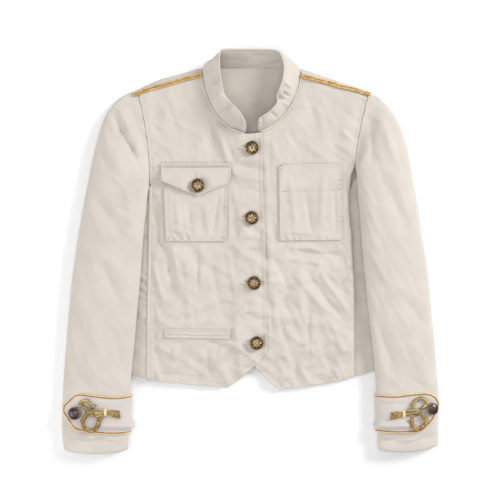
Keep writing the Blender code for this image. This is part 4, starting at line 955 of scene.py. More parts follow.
# The sleeves: one tube each, set into the armhole with the cap eased in, so that it
# puckers there. They lie slightly filled, over the sides of the body, and end in a
# turned and sewn hem.
RIGHT_SLEEVE = [
    (-162.2, 110.9, -182.7, 260.3, 14.0, 5.0, 7.0),
    (-162.6, 108.0, -202.2, 253.0, 18.5, 5.0, 4.5),
    (-163.4, 103.8, -220.8, 236.0, 23.0, 4.0, 3.2),
    (-164.5, 96.8, -236.8, 209.6, 26.5, 2.6, 2.6),
    (-165.8, 85.6, -248.6, 170.4, 29.0, 1.2, 2.4),
    (-167.4, 69.6, -257.6, 128.8, 30.0, 0.0, 2.3),
    (-169.6, 48.8, -266.2, 84.0, 31.0, 0.0, 2.3),
    (-172.8, 12.0, -276.2, 28.0, 31.0, 0.0, 2.3),
    (-176.0, -31.2, -284.8, -31.2, 31.0, 0.0, 2.3),
    (-180.8, -84.0, -291.2, -92.0, 30.0, 0.0, 2.3),
    (-185.6, -140.0, -296.6, -156.0, 28.5, 0.0, 2.4),
    (-191.0, -191.2, -300.3, -212.0, 27.0, 0.0, 2.5),
    (-193.6, -229.6, -302.1, -252.0, 26.0, -1.0, 2.6),
    (-195.2, -274.4, -302.1, -290.4, 25.0, -3.0, 2.7),
    (-196.8, -315.0, -299.2, -316.0, 24.0, -5.6, 2.8),
]
LEFT_SLEEVE = [
    (166.1, 137.8, 188.6, 255.8, 14.0, -2.6, 7.0),
    (167.0, 135.2, 206.4, 247.5, 18.5, -3.0, 4.5),
    (168.0, 131.0, 224.3, 227.2, 23.0, -3.0, 3.2),
    (169.1, 124.0, 240.6, 198.4, 26.5, -2.0, 2.6),
    (169.9, 111.2, 251.2, 160.8, 29.0, -1.0, 2.4),
    (171.0, 88.8, 258.6, 119.2, 30.0, 0.0, 2.3),
    (173.8, 60.0, 265.9, 79.2, 31.0, 0.0, 2.3),
    (176.6, 20.0, 273.0, 28.0, 31.0, 0.0, 2.3),
    (180.2, -21.6, 281.6, -24.8, 31.0, 0.0, 2.3),
    (185.6, -76.0, 287.5, -80.8, 30.0, 0.0, 2.3),
    (192.0, -132.0, 292.8, -136.8, 28.5, 0.0, 2.4),
    (198.4, -191.2, 297.1, -194.4, 27.0, 0.0, 2.5),
    (200.0, -229.6, 300.2, -232.8, 26.0, 1.0, 2.6),
    (201.6, -274.4, 299.8, -274.4, 25.0, 3.0, 2.7),
    (202.4, -314.4, 299.2, -308.8, 24.0, 6.4, 2.8),
]
SLEEVE_FOLDS = [
    (-220.8, 223.2, -208.0, 194.4, 13.0, -3.4),
    (-208.0, 194.4, -192.0, 168.8, 13.0, -4.4),
    (-192.0, 168.8, -171.2, 127.2, 12.0, -3.6),
    (-203.2, 224.8, -177.6, 164.0, 12.0, 2.4),
    (-235.2, 180.0, -206.4, 135.2, 18.0, 2.2),
    (-254.4, 100.0, -209.6, 32.8, 18.0, -2.4),
    (-196.8, 92.0, -180.8, 20.0, 14.0, 2.0),
    (-270.4, 4.0, -222.4, -15.2, 18.0, 1.8),
    (-235.2, -24.8, -203.2, -95.2, 18.0, -2.6),
    (-276.8, -76.0, -241.6, -148.0, 18.0, 2.0),
    (-222.4, -124.0, -200.0, -191.2, 15.0, -2.0),
    (-286.4, -172.0, -264.0, -210.4, 15.0, -1.6),
    (-267.2, -300.0, -212.8, -296.8, 13.0, -1.6),
    (206.4, 212.0, 232.0, 148.0, 16.0, 2.2),
    (190.4, 208.8, 193.6, 148.0, 14.0, -2.4),
    (212.8, 116.0, 244.8, 42.4, 18.0, -2.4),
    (184.0, 84.0, 200.0, 4.0, 14.0, 2.0),
    (203.2, -15.2, 241.6, -76.0, 18.0, 2.0),
    (238.4, -69.6, 276.8, -111.2, 16.0, -2.0),
    (203.2, -108.0, 225.6, -191.2, 16.0, -2.2),
    (257.6, -148.0, 283.2, -207.2, 15.0, 1.8),
    (212.8, -301.6, 286.4, -295.2, 13.0, -1.4),
]
SLEEVE_CREASES = [
    (-217.6, 218.4, -209.6, 196.0, 6.0, -1.4),
    (-208.0, 194.4, -193.6, 168.8, 6.0, -1.8),
    (-192.0, 168.8, -180.8, 143.2, 6.0, -1.6),
    (-180.8, 143.2, -168.0, 119.2, 5.0, -1.2),
    (-225.6, 212.0, -216.0, 189.6, 7.0, 1.0),
    (-200.0, 186.4, -184.0, 164.0, 6.0, 1.2),
    (-196.8, 208.8, -172.8, 205.6, 4.0, -1.1),
    (-195.2, 200.8, -171.2, 197.6, 4.0, 0.9),
    (-193.6, 194.4, -169.6, 189.6, 4.0, -1.1),
    (-192.0, 186.4, -168.0, 181.6, 4.0, 0.9),
    (-190.4, 178.4, -166.4, 172.0, 4.0, -0.9),
    (-184.0, 164.0, -164.8, 157.6, 4.0, 0.7),
    (-180.8, 151.2, -163.2, 144.8, 4.0, -0.7),
    (-196.8, 231.2, -179.2, 224.8, 4.0, 0.8),
    (-200.0, 221.6, -177.6, 216.8, 4.0, -0.8),
    (-235.2, 202.4, -225.6, 164.0, 9.0, 0.8),
    (-244.8, 164.0, -222.4, 122.4, 8.0, -0.9),
    (-232.0, 135.2, -200.0, 100.0, 8.0, 0.8),
    (-196.8, 106.4, -168.0, 90.4, 6.0, -1.0),
    (-203.2, 90.4, -171.2, 71.2, 6.0, 0.9),
    (-216.0, 74.4, -172.8, 48.8, 7.0, -0.9),
    (-251.2, 90.4, -212.8, 39.2, 8.0, -0.9),
    (-260.8, 74.4, -235.2, 26.4, 8.0, 0.8),
    (-206.4, 39.2, -176.0, 10.4, 7.0, 0.8),
    (-228.8, 23.2, -190.4, -15.2, 7.0, -0.8),
    (-267.2, 10.4, -244.8, -31.2, 8.0, 0.8),
    (-276.8, -15.2, -254.4, -63.2, 8.0, -0.8),
    (-235.2, -24.8, -209.6, -76.0, 7.0, -1.0),
    (-216.0, -21.6, -187.2, -60.0, 7.0, 0.8),
    (-248.0, -60.0, -222.4, -117.6, 8.0, 0.8),
    (-273.6, -82.4, -254.4, -133.6, 8.0, -0.7),
    (-219.2, -95.2, -193.6, -146.4, 7.0, -0.9),
    (-244.8, -133.6, -212.8, -191.2, 8.0, -0.8),
    (-270.4, -149.6, -244.8, -200.8, 8.0, 0.8),
    (-286.4, -124.0, -276.8, -181.6, 7.0, 0.6),
    (-225.6, -181.6, -200.0, -220.0, 7.0, 0.7),
    (-276.8, -197.6, -244.8, -223.2, 7.0, -0.6),
    (-248.0, -210.4, -203.2, -223.2, 6.0, -0.5),
    (-296.0, -268.0, -286.4, -309.6, 5.0, -1.2),
    (-280.0, -287.2, -248.0, -300.0, 6.0, 2.8),
    (-254.4, -301.6, -228.8, -295.2, 4.5, -2.4),
    (-241.6, -293.6, -203.2, -301.6, 5.0, 2.4),
    (-228.8, -309.6, -203.2, -306.4, 4.0, -0.6),
    (195.2, 237.6, 219.2, 224.8, 5.0, 0.8),
    (180.8, 215.2, 203.2, 208.8, 4.0, -0.9),
    (177.6, 202.4, 200.0, 197.6, 4.0, 0.8),
    (174.4, 191.2, 196.8, 183.2, 4.0, -0.9),
    (172.8, 178.4, 193.6, 168.8, 4.0, 0.8),
    (171.2, 164.0, 190.4, 152.8, 4.0, -0.8),
    (169.6, 148.0, 184.0, 128.8, 4.0, 0.7),
    (190.4, 205.6, 193.6, 151.2, 6.0, -1.1),
    (209.6, 208.8, 228.8, 151.2, 9.0, 0.9),
    (228.8, 180.0, 244.8, 122.4, 9.0, -0.8),
    (200.0, 151.2, 216.0, 90.4, 8.0, -0.9),
    (177.6, 109.6, 200.0, 71.2, 6.0, 0.9),
    (216.0, 109.6, 241.6, 48.8, 8.0, -0.9),
    (235.2, 100.0, 257.6, 42.4, 8.0, 0.8),
    (180.8, 74.4, 200.0, 20.0, 6.0, -0.9),
    (193.6, 61.6, 219.2, 0.8, 7.0, 0.8),
    (225.6, 32.8, 257.6, -15.2, 8.0, 0.8),
    (184.0, 10.4, 212.8, -44.0, 7.0, 0.8),
    (206.4, -15.2, 238.4, -69.6, 8.0, -0.9),
    (244.8, -15.2, 270.4, -69.6, 8.0, -0.7),
    (190.4, -47.2, 212.8, -104.8, 7.0, -0.8),
    (219.2, -72.8, 254.4, -124.0, 8.0, 0.9),
    (244.8, -76.0, 276.8, -114.4, 7.0, -0.9),
    (200.0, -111.2, 222.4, -175.2, 7.0, -0.9),
    (225.6, -124.0, 254.4, -184.8, 8.0, 0.8),
    (257.6, -133.6, 283.2, -184.8, 7.0, 0.7),
    (206.4, -181.6, 241.6, -216.8, 7.0, 0.7),
    (238.4, -191.2, 280.0, -216.8, 7.0, -0.7),
    (206.4, -303.2, 241.6, -296.8, 4.5, -2.2),
    (232.0, -301.6, 270.4, -296.8, 5.0, 2.2),
    (257.6, -301.6, 292.8, -292.0, 4.5, -1.6),
    (212.8, -309.6, 244.8, -311.2, 4.0, 0.5),
]


def under_sleeve(x, y):
    """Height that a sleeve's underside has to clear."""
    left = x < 0.0
    past = np.clip((x - LEFT_CENTRE) / 33.0, 0.0, 1.0)
    high = 2.0 * FOLD_RADIUS + (LEFT_WRAP_HIGH - 2.0 * FOLD_RADIUS) * smooth(past)
    held = np.where(left, smooth((x - FOLD_LEFT_X + 15.0) / 13.0),
                    smooth((FOLD_RIGHT_X + 15.0 - x) / 13.0))
    start = np.where(left, smooth((109.6 - y) / 12.0), smooth((138.4 - y) / 9.0))
    return (np.where(left, high, RIGHT_WRAP_TOP) + LAY_GAP) * held * start * smooth((y - -236.0) / 16.0)


def table_row(table, v):
    """Smooth reading of a table at rows v, an array that need not be whole."""
    rows = np.array(table, dtype=float)
    last = len(rows) - 1
    v = np.clip(v, 0.0, float(last))
    k = np.minimum(v.astype(int), last - 1)
    t = (v - k)[..., None]
    before = rows[np.maximum(k - 1, 0)]
    here = rows[k]
    there = rows[k + 1]
    after = rows[np.minimum(k + 2, last)]
    low = np.where((k > 0)[..., None], 0.5 * (there - before), there - here)
    high = np.where((k < last - 1)[..., None], 0.5 * (after - here), there - here)
    return ((2 * t ** 3 - 3 * t ** 2 + 1) * here + (t ** 3 - 2 * t ** 2 + t) * low
            + (-2 * t ** 3 + 3 * t ** 2) * there + (t ** 3 - t ** 2) * high)


def signed_power(value, power):
    return np.sign(value) * np.abs(value) ** power


def sleeve_place(table, v, angle, inset=0.0, small=1.0):
    """Points of a sleeve: angle 0 at its inner edge, over the top to pi at the outer one."""
    row = table_row(table, v)
    ix, iy, ox, oy, height, bow, roundness = (row[..., k] for k in range(7))
    long = np.hypot(ox - ix, oy - iy)
    dx = (ox - ix) / long
    dy = (oy - iy) / long
    over = np.sin(angle) > 0.0
    power = 2.0 / np.where(over, roundness, 5.0)
    across = signed_power(np.cos(angle), power)
    up = signed_power(np.sin(angle), power)
    u = 0.5 - 0.5 * across * (1.0 - 2.0 * inset / long)
    side = bow * 4.0 * u * (1.0 - u)
    x = ix + u * (ox - ix) + side * dy
    y = iy + u * (oy - iy) - side * dx
    floor = under_sleeve(x, y)
    own = smooth(v / 2.4)
    creased = folds(x, y, SLEEVE_FOLDS) + small * (
        1.4 * folds(x, y, SLEEVE_CREASES, sharp=True) + 0.34 * handling(x + 31.0, y))
    seam = ARM_RIGHT if table is RIGHT_SLEEVE else ARM_LEFT
    near, length = line_reach(x, y, seam)
    creased = creased + small * puckers(x, y, seam, 10.0, 11.0, 1.2)
    lean = 6.0 * (0.45 - u) * small
    top = own * (height + creased + lean) + (1.0 - own) * (front_z(x, y) + 0.5 * creased)
    top = top - 0.35 * small * np.exp(-(near / 1.6) ** 2)
    if small:
        hem = cuff_hem_right if table is RIGHT_SLEEVE else cuff_hem_left
        top = top - sewn_dent(x, y, [hem], 1.4, 0.6)
    top = np.maximum(top, floor + 5.0)
    middle = floor + 0.42 * (top - floor)
    z = np.where(over, middle + up * (top - inset - middle), middle + up * (middle - floor - inset))
    return x, y, z


def angle_of(table, v, u, over=True):
    """Angle round the sleeve for a share u of its width."""
    roundness = table_row(table, v)[..., 6] if over else 5.0
    part = 1.0 - 2.0 * u
    angle = np.arccos(signed_power(part, roundness / 2.0))
    return angle if over else -angle


cuff_hem_right = [(-302.4, -293.6), (-273.6, -299.4), (-241.6, -300.3), (-195.2, -294.6)]
cuff_hem_left = [(201.6, -294.6), (230.4, -300.0), (257.6, -300.0), (300.2, -288.8)]
SLEEVE_RINGS = 230
SLEEVE_HALF = 58


def sleeve_cloth(name, table):
    marks = (len(table) - 1) * np.linspace(0.0, 1.0, SLEEVE_RINGS) ** 1.08
    shares = 0.5 - 0.5 * np.cos(np.pi * (np.arange(SLEEVE_HALF) + 1) / (SLEEVE_HALF + 1))
    v = np.repeat(marks[:, None], 2 * SLEEVE_HALF + 2, axis=1)
    over = angle_of(table, v[:, :SLEEVE_HALF], shares[None, :])
    under = angle_of(table, v[:, :SLEEVE_HALF], shares[None, ::-1], False) + np.zeros_like(over)
    ends = np.zeros((SLEEVE_RINGS, 1))
    angle = np.concatenate((ends, over, ends + np.pi, under), axis=1)
    around = angle.shape[1]
    walls = []
    for inset in (0.0, CLOTH):
        x, y, z = sleeve_place(table, v, angle, inset)
        walls.append(np.stack((x, y, z), axis=2))
    # the cuff and armhole edges are turned, not raw
    for end in (0, -1):
        step = 1 if end == 0 else -2
        walls[0][end] += (walls[1][end] - walls[0][end]) * 0.25
        walls[1][end] += (walls[0][end] - walls[1][end]) * 0.15
    points = np.concatenate([wall.reshape(-1, 3) for wall in walls])
    whole = SLEEVE_RINGS * around
    faces = []
    for k in range(SLEEVE_RINGS - 1):
        for j in range(around):
            a = k * around + j
            b = k * around + (j + 1) % around
            faces.append((a, b, b + around, a + around))
            faces.append((whole + b, whole + a, whole + a + around, whole + b + around))
    for j in range(around):
        a = j
        b = (j + 1) % around
        faces.append((b, a, whole + a, whole + b))
        a += (SLEEVE_RINGS - 1) * around
        b += (SLEEVE_RINGS - 1) * around
        faces.append((a, b, whole + b, whole + a))
    piece = cloth_mesh(name, points, faces, ecru_twill)
    if table is LEFT_SLEEVE:
        piece.data.flip_normals()
    return piece


sleeve_right = sleeve_cloth("sleeve_right_cloth", RIGHT_SLEEVE)
sleeve_left = sleeve_cloth("sleeve_left_cloth", LEFT_SLEEVE)
for piece, node in ((sleeve_right, "sleeve_right"), (sleeve_left, "sleeve_left")):
    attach(piece, "root")
    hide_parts(node)


def sleeve_top(table):
    """Surface of a sleeve's top by x and y, good on its forearm and cuff."""
    def face(x, y):
        v = np.full(np.shape(x), 13.0)
        u = np.full(np.shape(x), 0.5)
        for k in range(14):
            row = table_row(table, v)
            u = np.clip((x - row[..., 0]) / (row[..., 2] - row[..., 0]), 0.004, 0.996)
            across = row[..., 1] + u * (row[..., 3] - row[..., 1])
            across = across - row[..., 5] * 4.0 * u * (1.0 - u) * np.sign(row[..., 2] - row[..., 0])
            v = np.clip(v + (across - y) / 44.0, 7.0, 14.0)
        px, py, pz = sleeve_place(table, v, angle_of(table, v, u))
        return px, py, pz
    return face


sewn = [row_on(sleeve_top(RIGHT_SLEEVE), cuff_hem_right[:], 0.1),
        row_on(sleeve_top(LEFT_SLEEVE), cuff_hem_left[:], 0.1)]
stitches("sleeve_stitches", [row[0] for row in sewn], [row[1] for row in sewn], ecru_thread)


# The stand collar: a band of two layers of the twill with stiffening between, sewn to the
# neck edge and standing round it. It falls outward at the wearer's left, where it is
# crumpled, and its two rounded ends meet over the closing.
COLLAR_CLOTH = 2.6
COLLAR_ALONG = 12
# foot x, foot y, middle x, middle y, top x, top y, foot z, top z
COLLAR = [
    (-9.3, 190.9, -8.0, 201.4, -9.3, 211.4, 13.6, 36.0),
    (-20.2, 194.6, -16.0, 208.8, -15.0, 221.0, 13.4, 38.0),
    (-32.8, 200.2, -27.2, 216.5, -23.8, 230.7, 13.0, 39.0),
    (-48.3, 213.3, -40.0, 228.0, -33.0, 240.5, 12.8, 39.0),
    (-61.4, 229.6, -51.8, 240.5, -41.3, 251.0, 12.6, 39.0),
    (-68.5, 244.8, -57.9, 255.2, -45.0, 264.8, 12.4, 38.5),
    (-75.2, 263.2, -64.6, 271.2, -48.0, 277.6, 12.2, 38.0),
    (-77.6, 279.2, -69.4, 287.5, -49.3, 290.4, 10.4, 37.0),
    (-76.2, 290.4, -71.4, 302.2, -49.8, 300.0, 4.6, 35.5),
    (-67.2, 295.7, -62.7, 308.6, -50.1, 309.6, 1.8, 34.0),
    (-57.6, 297.8, -55.7, 314.4, -49.8, 318.2, 1.6, 32.5),
    (-46.4, 298.4, -45.8, 312.8, -45.4, 324.6, 1.6, 31.0),
    (-25.6, 298.4, -25.3, 312.8, -24.0, 325.0, 1.6, 30.0),
    (-4.8, 298.4, -4.5, 312.8, -4.2, 325.0, 1.6, 30.0),
    (16.0, 298.4, 16.0, 312.8, 16.0, 324.8, 1.6, 30.0),
    (35.2, 298.4, 34.6, 312.8, 33.6, 324.2, 1.6, 31.0),
    (48.0, 298.1, 48.0, 313.8, 42.6, 321.8, 1.6, 32.5),
    (58.2, 297.4, 58.2, 310.2, 48.0, 314.7, 1.6, 33.5),
    (68.8, 296.0, 66.2, 304.8, 51.2, 305.4, 1.8, 34.5),
    (77.8, 291.4, 71.7, 299.0, 52.5, 294.6, 4.6, 36.0),
    (79.0, 280.8, 69.4, 287.8, 51.8, 284.6, 10.4, 37.0),
    (76.8, 266.4, 65.0, 271.8, 49.8, 273.4, 12.4, 38.0),
    (72.0, 252.0, 59.2, 256.8, 45.1, 261.1, 12.8, 36.5),
    (64.8, 236.8, 52.8, 244.6, 41.0, 250.4, 13.0, 35.0),
    (53.6, 220.8, 48.6, 230.6, 41.6, 239.5, 13.0, 37.0),
    (41.6, 208.0, 39.0, 218.4, 33.6, 228.2, 13.0, 38.0),
    (28.0, 198.9, 27.2, 209.8, 24.0, 220.6, 13.0, 38.0),
    (12.5, 193.1, 11.5, 203.4, 12.5, 213.3, 13.2, 36.0),
]
# x0, y0, x1, y1, half width, height of the dents and creases, seen from above
COLLAR_CREASES = [
    (-64.0, 269.6, -51.2, 274.4, 6.0, -1.3),
    (-43.2, 223.2, -33.6, 232.8, 6.0, -1.2),
    (40.0, 264.8, 51.2, 250.4, 5.0, 1.5),
    (41.6, 248.8, 52.8, 242.4, 4.5, -1.5),
    (46.4, 256.8, 60.8, 248.8, 4.5, -1.2),
    (52.8, 271.2, 62.4, 263.2, 5.0, 1.0),
    (48.0, 242.4, 59.2, 232.8, 5.0, 0.9),
    (30.4, 224.8, 40.0, 215.2, 5.0, -0.8),
    (17.6, 218.4, 20.8, 199.2, 5.0, -0.5),
    (-17.6, 215.2, -12.8, 199.2, 5.0, -0.5),
    (-56.0, 247.2, -43.2, 253.6, 6.0, 0.6),
    (-68.8, 284.0, -56.0, 287.2, 5.0, 0.6),
    (-72.0, 255.2, -62.4, 261.6, 5.0, -0.6),
]
INNER_CREASES = [
    (1.6, 314.4, 41.6, 317.6, 5.0, 0.9),
    (6.4, 306.4, 43.2, 308.0, 4.0, -0.8),
    (-40.0, 311.2, -11.2, 308.0, 6.0, 0.5),
]


def collar_face(k, t):
    """Outer face of the collar: k runs along its stations, t from the foot to the top."""
    row = table_row(COLLAR, k)
    foot = row[..., (0, 1, 6)]
    top = row[..., (4, 5, 7)]
    belly = 0.27 * smooth((7.5 - k) / 4.0) + 0.16 * smooth((k - 19.0) / 4.0)
    middle_z = row[..., 6] + (0.5 + belly) * (row[..., 7] - row[..., 6])
    out_x = row[..., 2] + 0.35 * belly * (row[..., 0] - row[..., 4])
    out_y = row[..., 3] + 0.35 * belly * (row[..., 1] - row[..., 5])
    middle = np.stack((out_x, out_y, middle_z), axis=-1)
    t = t[..., None]
    place = (foot * (1.0 - t) * (1.0 - 2.0 * t) + middle * 4.0 * t * (1.0 - t)
             + top * t * (2.0 * t - 1.0))
    return place


def smooth_normals(grid):
    normal = np.cross(np.gradient(grid, axis=1), np.gradient(grid, axis=0))
    return normal / np.maximum(np.linalg.norm(normal, axis=2), 1e-9)[:, :, None]


def edge_distance(grid, axis):
    """Distance of each grid point from the two ends of its line."""
    steps = np.linalg.norm(np.diff(grid, axis=axis), axis=2)
    zero = np.zeros_like(np.take(steps, [0], axis=axis))
    run = np.cumsum(np.concatenate((zero, steps), axis=axis), axis=axis)
    return run, np.take(run, [-1], axis=axis) - run


def two_walls(name, grid, normal, low, high, finish, closed=False):
    """A thin piece between two offsets of a grid, with its four edges closed."""
    outer = grid + normal * np.broadcast_to(high, grid.shape[:2])[:, :, None]
    inner = grid + normal * np.broadcast_to(low, grid.shape[:2])[:, :, None]
    rows, columns = grid.shape[:2]
    half = rows * columns
    faces = []
    for k in range(rows - 1):
        for j in range(columns - 1):
            a = k * columns + j
            faces.append((a, a + 1, a + columns + 1, a + columns))
            faces.append((half + a, half + a + columns, half + a + columns + 1, half + a + 1))
        a = k * columns
        faces.append((a, a + columns, half + a + columns, half + a))
        a += columns - 1
        faces.append((a, half + a, half + a + columns, a + columns))
    for j in range(columns - 1):
        faces.append((j, half + j, half + j + 1, j + 1))
        a = (rows - 1) * columns + j
        faces.append((a, a + 1, half + a + 1, half + a))
    points = np.concatenate((outer.reshape(-1, 3), inner.reshape(-1, 3)))
    return cloth_mesh(name, points, faces, finish)


collar_marks = np.linspace(0.0, len(COLLAR) - 1.0, (len(COLLAR) - 1) * COLLAR_ALONG + 1)
collar_marks = np.concatenate(([0.0, 0.02, 0.05], collar_marks[1:-1],
                               len(COLLAR) - 1.0 - np.array([0.05, 0.02, 0.0])))
rise = np.concatenate(([0.0, 0.01, 0.03], np.linspace(0.06, 0.94, 30), [0.97, 0.985, 0.995, 1.0]))
k, t = np.meshgrid(collar_marks, rise, indexing="ij")
grid = collar_face(k, t)
normal = smooth_normals(grid)
ends = np.minimum(*edge_distance(grid, 0))
foot_run, top_run = edge_distance(grid, 1)
soft = 4.2 * folds(grid[:, :, 0], grid[:, :, 1], COLLAR_CREASES, sharp=True)
behind_neck = (k > 9.0) & (k < 17.0)
soft = soft + np.where(behind_neck, 1.5 * folds(grid[:, :, 0], grid[:, :, 1], INNER_CREASES, sharp=True), 0.0)
soft = soft + 0.55 * handling(grid[:, :, 0] + 40.0, grid[:, :, 1] + grid[:, :, 2])
soft = soft * smooth(top_run / 5.0) * smooth(foot_run / 6.0) * smooth(ends / 6.0)
rolled = 1.25 * (1.0 - quarter(np.minimum(top_run, ends) / 1.3))
quilted = 0.35 * np.exp(-((top_run - 4.2) / 1.0) ** 2) + 0.35 * np.exp(-((foot_run - 3.0) / 1.0) ** 2)
collar = two_walls("collar_cloth", grid, normal, -COLLAR_CLOTH + rolled + 0.6 * soft + quilted,
                   -rolled + soft - quilted, ecru_twill)
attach(collar, "root")
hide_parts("collar")


def collar_row(depth, lift):
    """A sewn row along the collar at a depth below its top edge, or above its foot."""
    places = []
    for line, run in zip(grid, (foot_run if depth < 0 else top_run)):
        if depth < 0:
            share = np.interp(-depth, run, rise)
        else:
            share = np.interp(depth, run[::-1], rise[::-1])
        places.append(share)
    along_collar = collar_marks[6:-6]
    share = np.array(places)[6:-6]
    spot = collar_face(along_collar, share)
    index = np.clip(np.searchsorted(rise, share), 1, len(rise) - 2)
    rows = np.arange(6, len(collar_marks) - 6)
    up = normal[rows, index]
    raised = (soft - quilted)[rows, index]
    return spot + up * (raised + lift)[:, None], up


row, up = collar_row(4.2, 0.0)
low_row, low_up = collar_row(-3.0, 0.0)
stitches("collar_stitches", [row, low_row], [up, low_up], ecru_thread)


def sweep(centres, ups, profile, twist=None):
    """Points and faces of a solid swept along centres, its profile in side and up."""
    centres = np.array(centres, dtype=float)
    ahead = np.gradient(centres, axis=0)
    ahead /= np.maximum(np.linalg.norm(ahead, axis=1), 1e-9)[:, None]
    side = np.cross(ahead, np.array(ups, dtype=float))
    side /= np.maximum(np.linalg.norm(side, axis=1), 1e-9)[:, None]
    up = np.cross(side, ahead)
    profile = np.array(profile, dtype=float)
    if profile.ndim == 2:
        profile = np.broadcast_to(profile, (len(centres),) + profile.shape)
    count = profile.shape[1]
    points = (centres[:, None] + side[:, None] * profile[:, :, :1] + up[:, None] * profile[:, :, 1:])
    faces = []
    for k in range(len(centres) - 1):
        for j in range(count):
            a = k * count + j
            b = k * count + (j + 1) % count
            faces.append((a, b, b + count, a + count))
    faces.append(tuple(reversed(range(count))))
    faces.append(tuple(range((len(centres) - 1) * count, len(centres) * count)))
    return points.reshape(-1, 3), faces


def joined(name, parts, finish):
    """One mesh from several lists of points and faces."""
    points = []
    faces = []
    for part_points, part_faces in parts:
        base = sum(len(block) for block in points)
        points.append(np.array(part_points))
        faces += [tuple(int(p) + base for p in face) for face in part_faces]
    return cloth_mesh(name, np.concatenate(points), faces, finish)


def round_profile(radius, count=8):
    angles = 2.0 * np.pi * np.arange(count) / count
    return np.stack((radius * np.cos(angles), radius * np.sin(angles)), axis=1)


# The neck seam: the allowances turned up under the collar's foot make a thin raised ridge.
ridge_marks = np.linspace(0.25, 7.2, 90)
ridges = []
for marks in (ridge_marks, np.linspace(len(COLLAR) - 8.4, len(COLLAR) - 1.25, 90)):
    foot = collar_face(marks, np.zeros(len(marks)))
    toward = collar_face(marks, np.ones(len(marks)))[:, :2] - foot[:, :2]
    toward /= np.linalg.norm(toward, axis=1)[:, None]
    x = foot[:, 0] - 0.9 * toward[:, 0]
    y = foot[:, 1] - 0.9 * toward[:, 1]
    lower = np.where(x < -1.0, top_front_z(x, y), front_z(x, y))
    centres = np.stack((x, y, lower + CLOTH + 0.2 + 0.3 * handling(3.0 * x, 3.0 * y)), axis=1)
    ridges.append(sweep(centres, np.tile((0.0, 0.0, 1.0), (len(x), 1)), round_profile(1.0, 8) * (1.2, 0.8)))
# The ridge is in the paler thread finish: a painted highlight along the seam's edge.
neck_ridge = joined("neck_seam_ridge", ridges, ecru_thread)
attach(neck_ridge, "root")


# Pockets on the chest and the welt pocket near the hem, all of the same twill. The buttoned
# flap covers the mouth of the wearer's right pocket; the left one is a plain patch with
# a turned mouth; the welt is a narrow sewn frame.
POCKET_CLOTH = 1.2
FLAP_CLOTH = 1.4
POCKET_BODY = [
    (-140.5, 125.6, 1), (-136.2, 17.8, 1), (-39.0, 17.8, 1), (-36.8, 125.6, 1),
]
POCKET_FLAP = [
    (-144.3, 142.9, 1), (-143.7, 114.4, 1), (-85.1, 89.8, 1), (-35.8, 110.2, 1),
    (-32.0, 123.0, 1), (-31.7, 143.2, 1),
]
PATCH_POCKET = [
    (44.8, 140.6, 1), (45.6, 18.7, 1), (146.7, 20.0, 1), (145.6, 142.6, 1),
]
WELT = [
    (-138.9, -120.8, 1), (-138.9, -137.4, 1), (-32.6, -139.0, 1), (-32.6, -122.4, 1),
]
FLAP_BUTTON_PLACE = (-85.1, 107.0)
POCKET_CREASES = [
    (-120.0, 84.0, -113.6, 26.4, 8.0, 0.5),
    (-100.8, 74.4, -94.4, 23.2, 9.0, -0.5),
    (-72.0, 77.6, -68.8, 26.4, 9.0, 0.5),
    (-52.8, 90.4, -59.2, 32.8, 8.0, -0.5),
    (-129.6, 39.2, -88.0, 26.4, 7.0, 0.5),
    (62.4, 116.0, 72.0, 32.8, 9.0, 0.4),
    (88.0, 90.4, 97.6, 26.4, 9.0, -0.45),
    (116.8, 122.4, 110.4, 42.4, 9.0, 0.45),
    (132.8, 100.0, 137.6, 32.8, 7.0, -0.4),
    (56.0, 32.8, 126.4, 26.4, 6.0, 0.4),
    (-129.6, 132.0, -107.2, 119.2, 7.0, 0.35),
    (-65.6, 128.8, -43.2, 122.4, 7.0, -0.35),
]


def pocket_z(x, y):
    small = 6.0 * folds(x, y, POCKET_CREASES, sharp=True) + 0.7 * (handling(x - 70.0, y + 15.0) + 0.1)
    small = small * under_pocket(x, y)
    for line in (POCKET_SIDES[0], POCKET_SIDES[1][:4]):
        small = small + puckers(x, y, line, 9.0, 10.0, 1.3)
    return small + 2.6 * under_pocket(x, y)


def inner_rows(corners, depths, closed=True):
    """Rows of stitches inside a straight-edged piece."""
    rows = []
    ring = [(x, y) for x, y, corner in corners]
    area = sum(x0 * y1 - x1 * y0 for (x0, y0), (x1, y1) in zip(ring, ring[1:] + ring[:1]))
    turn = 1.0 if area > 0.0 else -1.0
    for depth in depths:
        moved = []
        for i, (x, y) in enumerate(ring):
            x0, y0 = ring[i - 1]
            x1, y1 = ring[(i + 1) % len(ring)]
            before = Vector((x - x0, y - y0)).normalized()
            after = Vector((x1 - x, y1 - y)).normalized()
            half = (before + after).normalized()
            out = Vector((-half.y, half.x)) * turn
            moved.append(Vector((x, y)) + out * depth / max(0.35, abs(out.dot(
                Vector((-before.y, before.x)) * turn))))
        points = [tuple(p) for p in moved]
        rows.append(even_line(points + points[:1] if closed else points, 2.0))
    return rows


def flap_lift(x, y):
    over = smooth((POCKET_FLAP[0][1] - 3.0 - y) / 12.0)
    return over * (POCKET_CLOTH + LAY_GAP)


body_rows = inner_rows(POCKET_BODY, (2.0, 5.6), closed=False)
flap_rows = inner_rows(POCKET_FLAP, (2.0, 6.4), closed=True)
flap_top_row = even_line([(-142.4, 136.8), (-32.6, 136.5)], 2.0)
patch_rows = inner_rows(PATCH_POCKET, (2.0,), closed=False)
patch_hem = even_line([(47.0, 98.4), (144.6, 99.4)], 2.0)
welt_rows = inner_rows(WELT, (1.4, 5.0))
flap_stitched = [flap_rows[0], flap_top_row]


def all_round(corners):
    return [spot[:2] for spot in corners] + [corners[0][:2]]


def body_face(x, y):
    edge = turned_edge(x, y, all_round(POCKET_BODY))
    return x, y, top_front_z(x, y) + pocket_z(x, y) + edge - sewn_dent(x, y, body_rows)


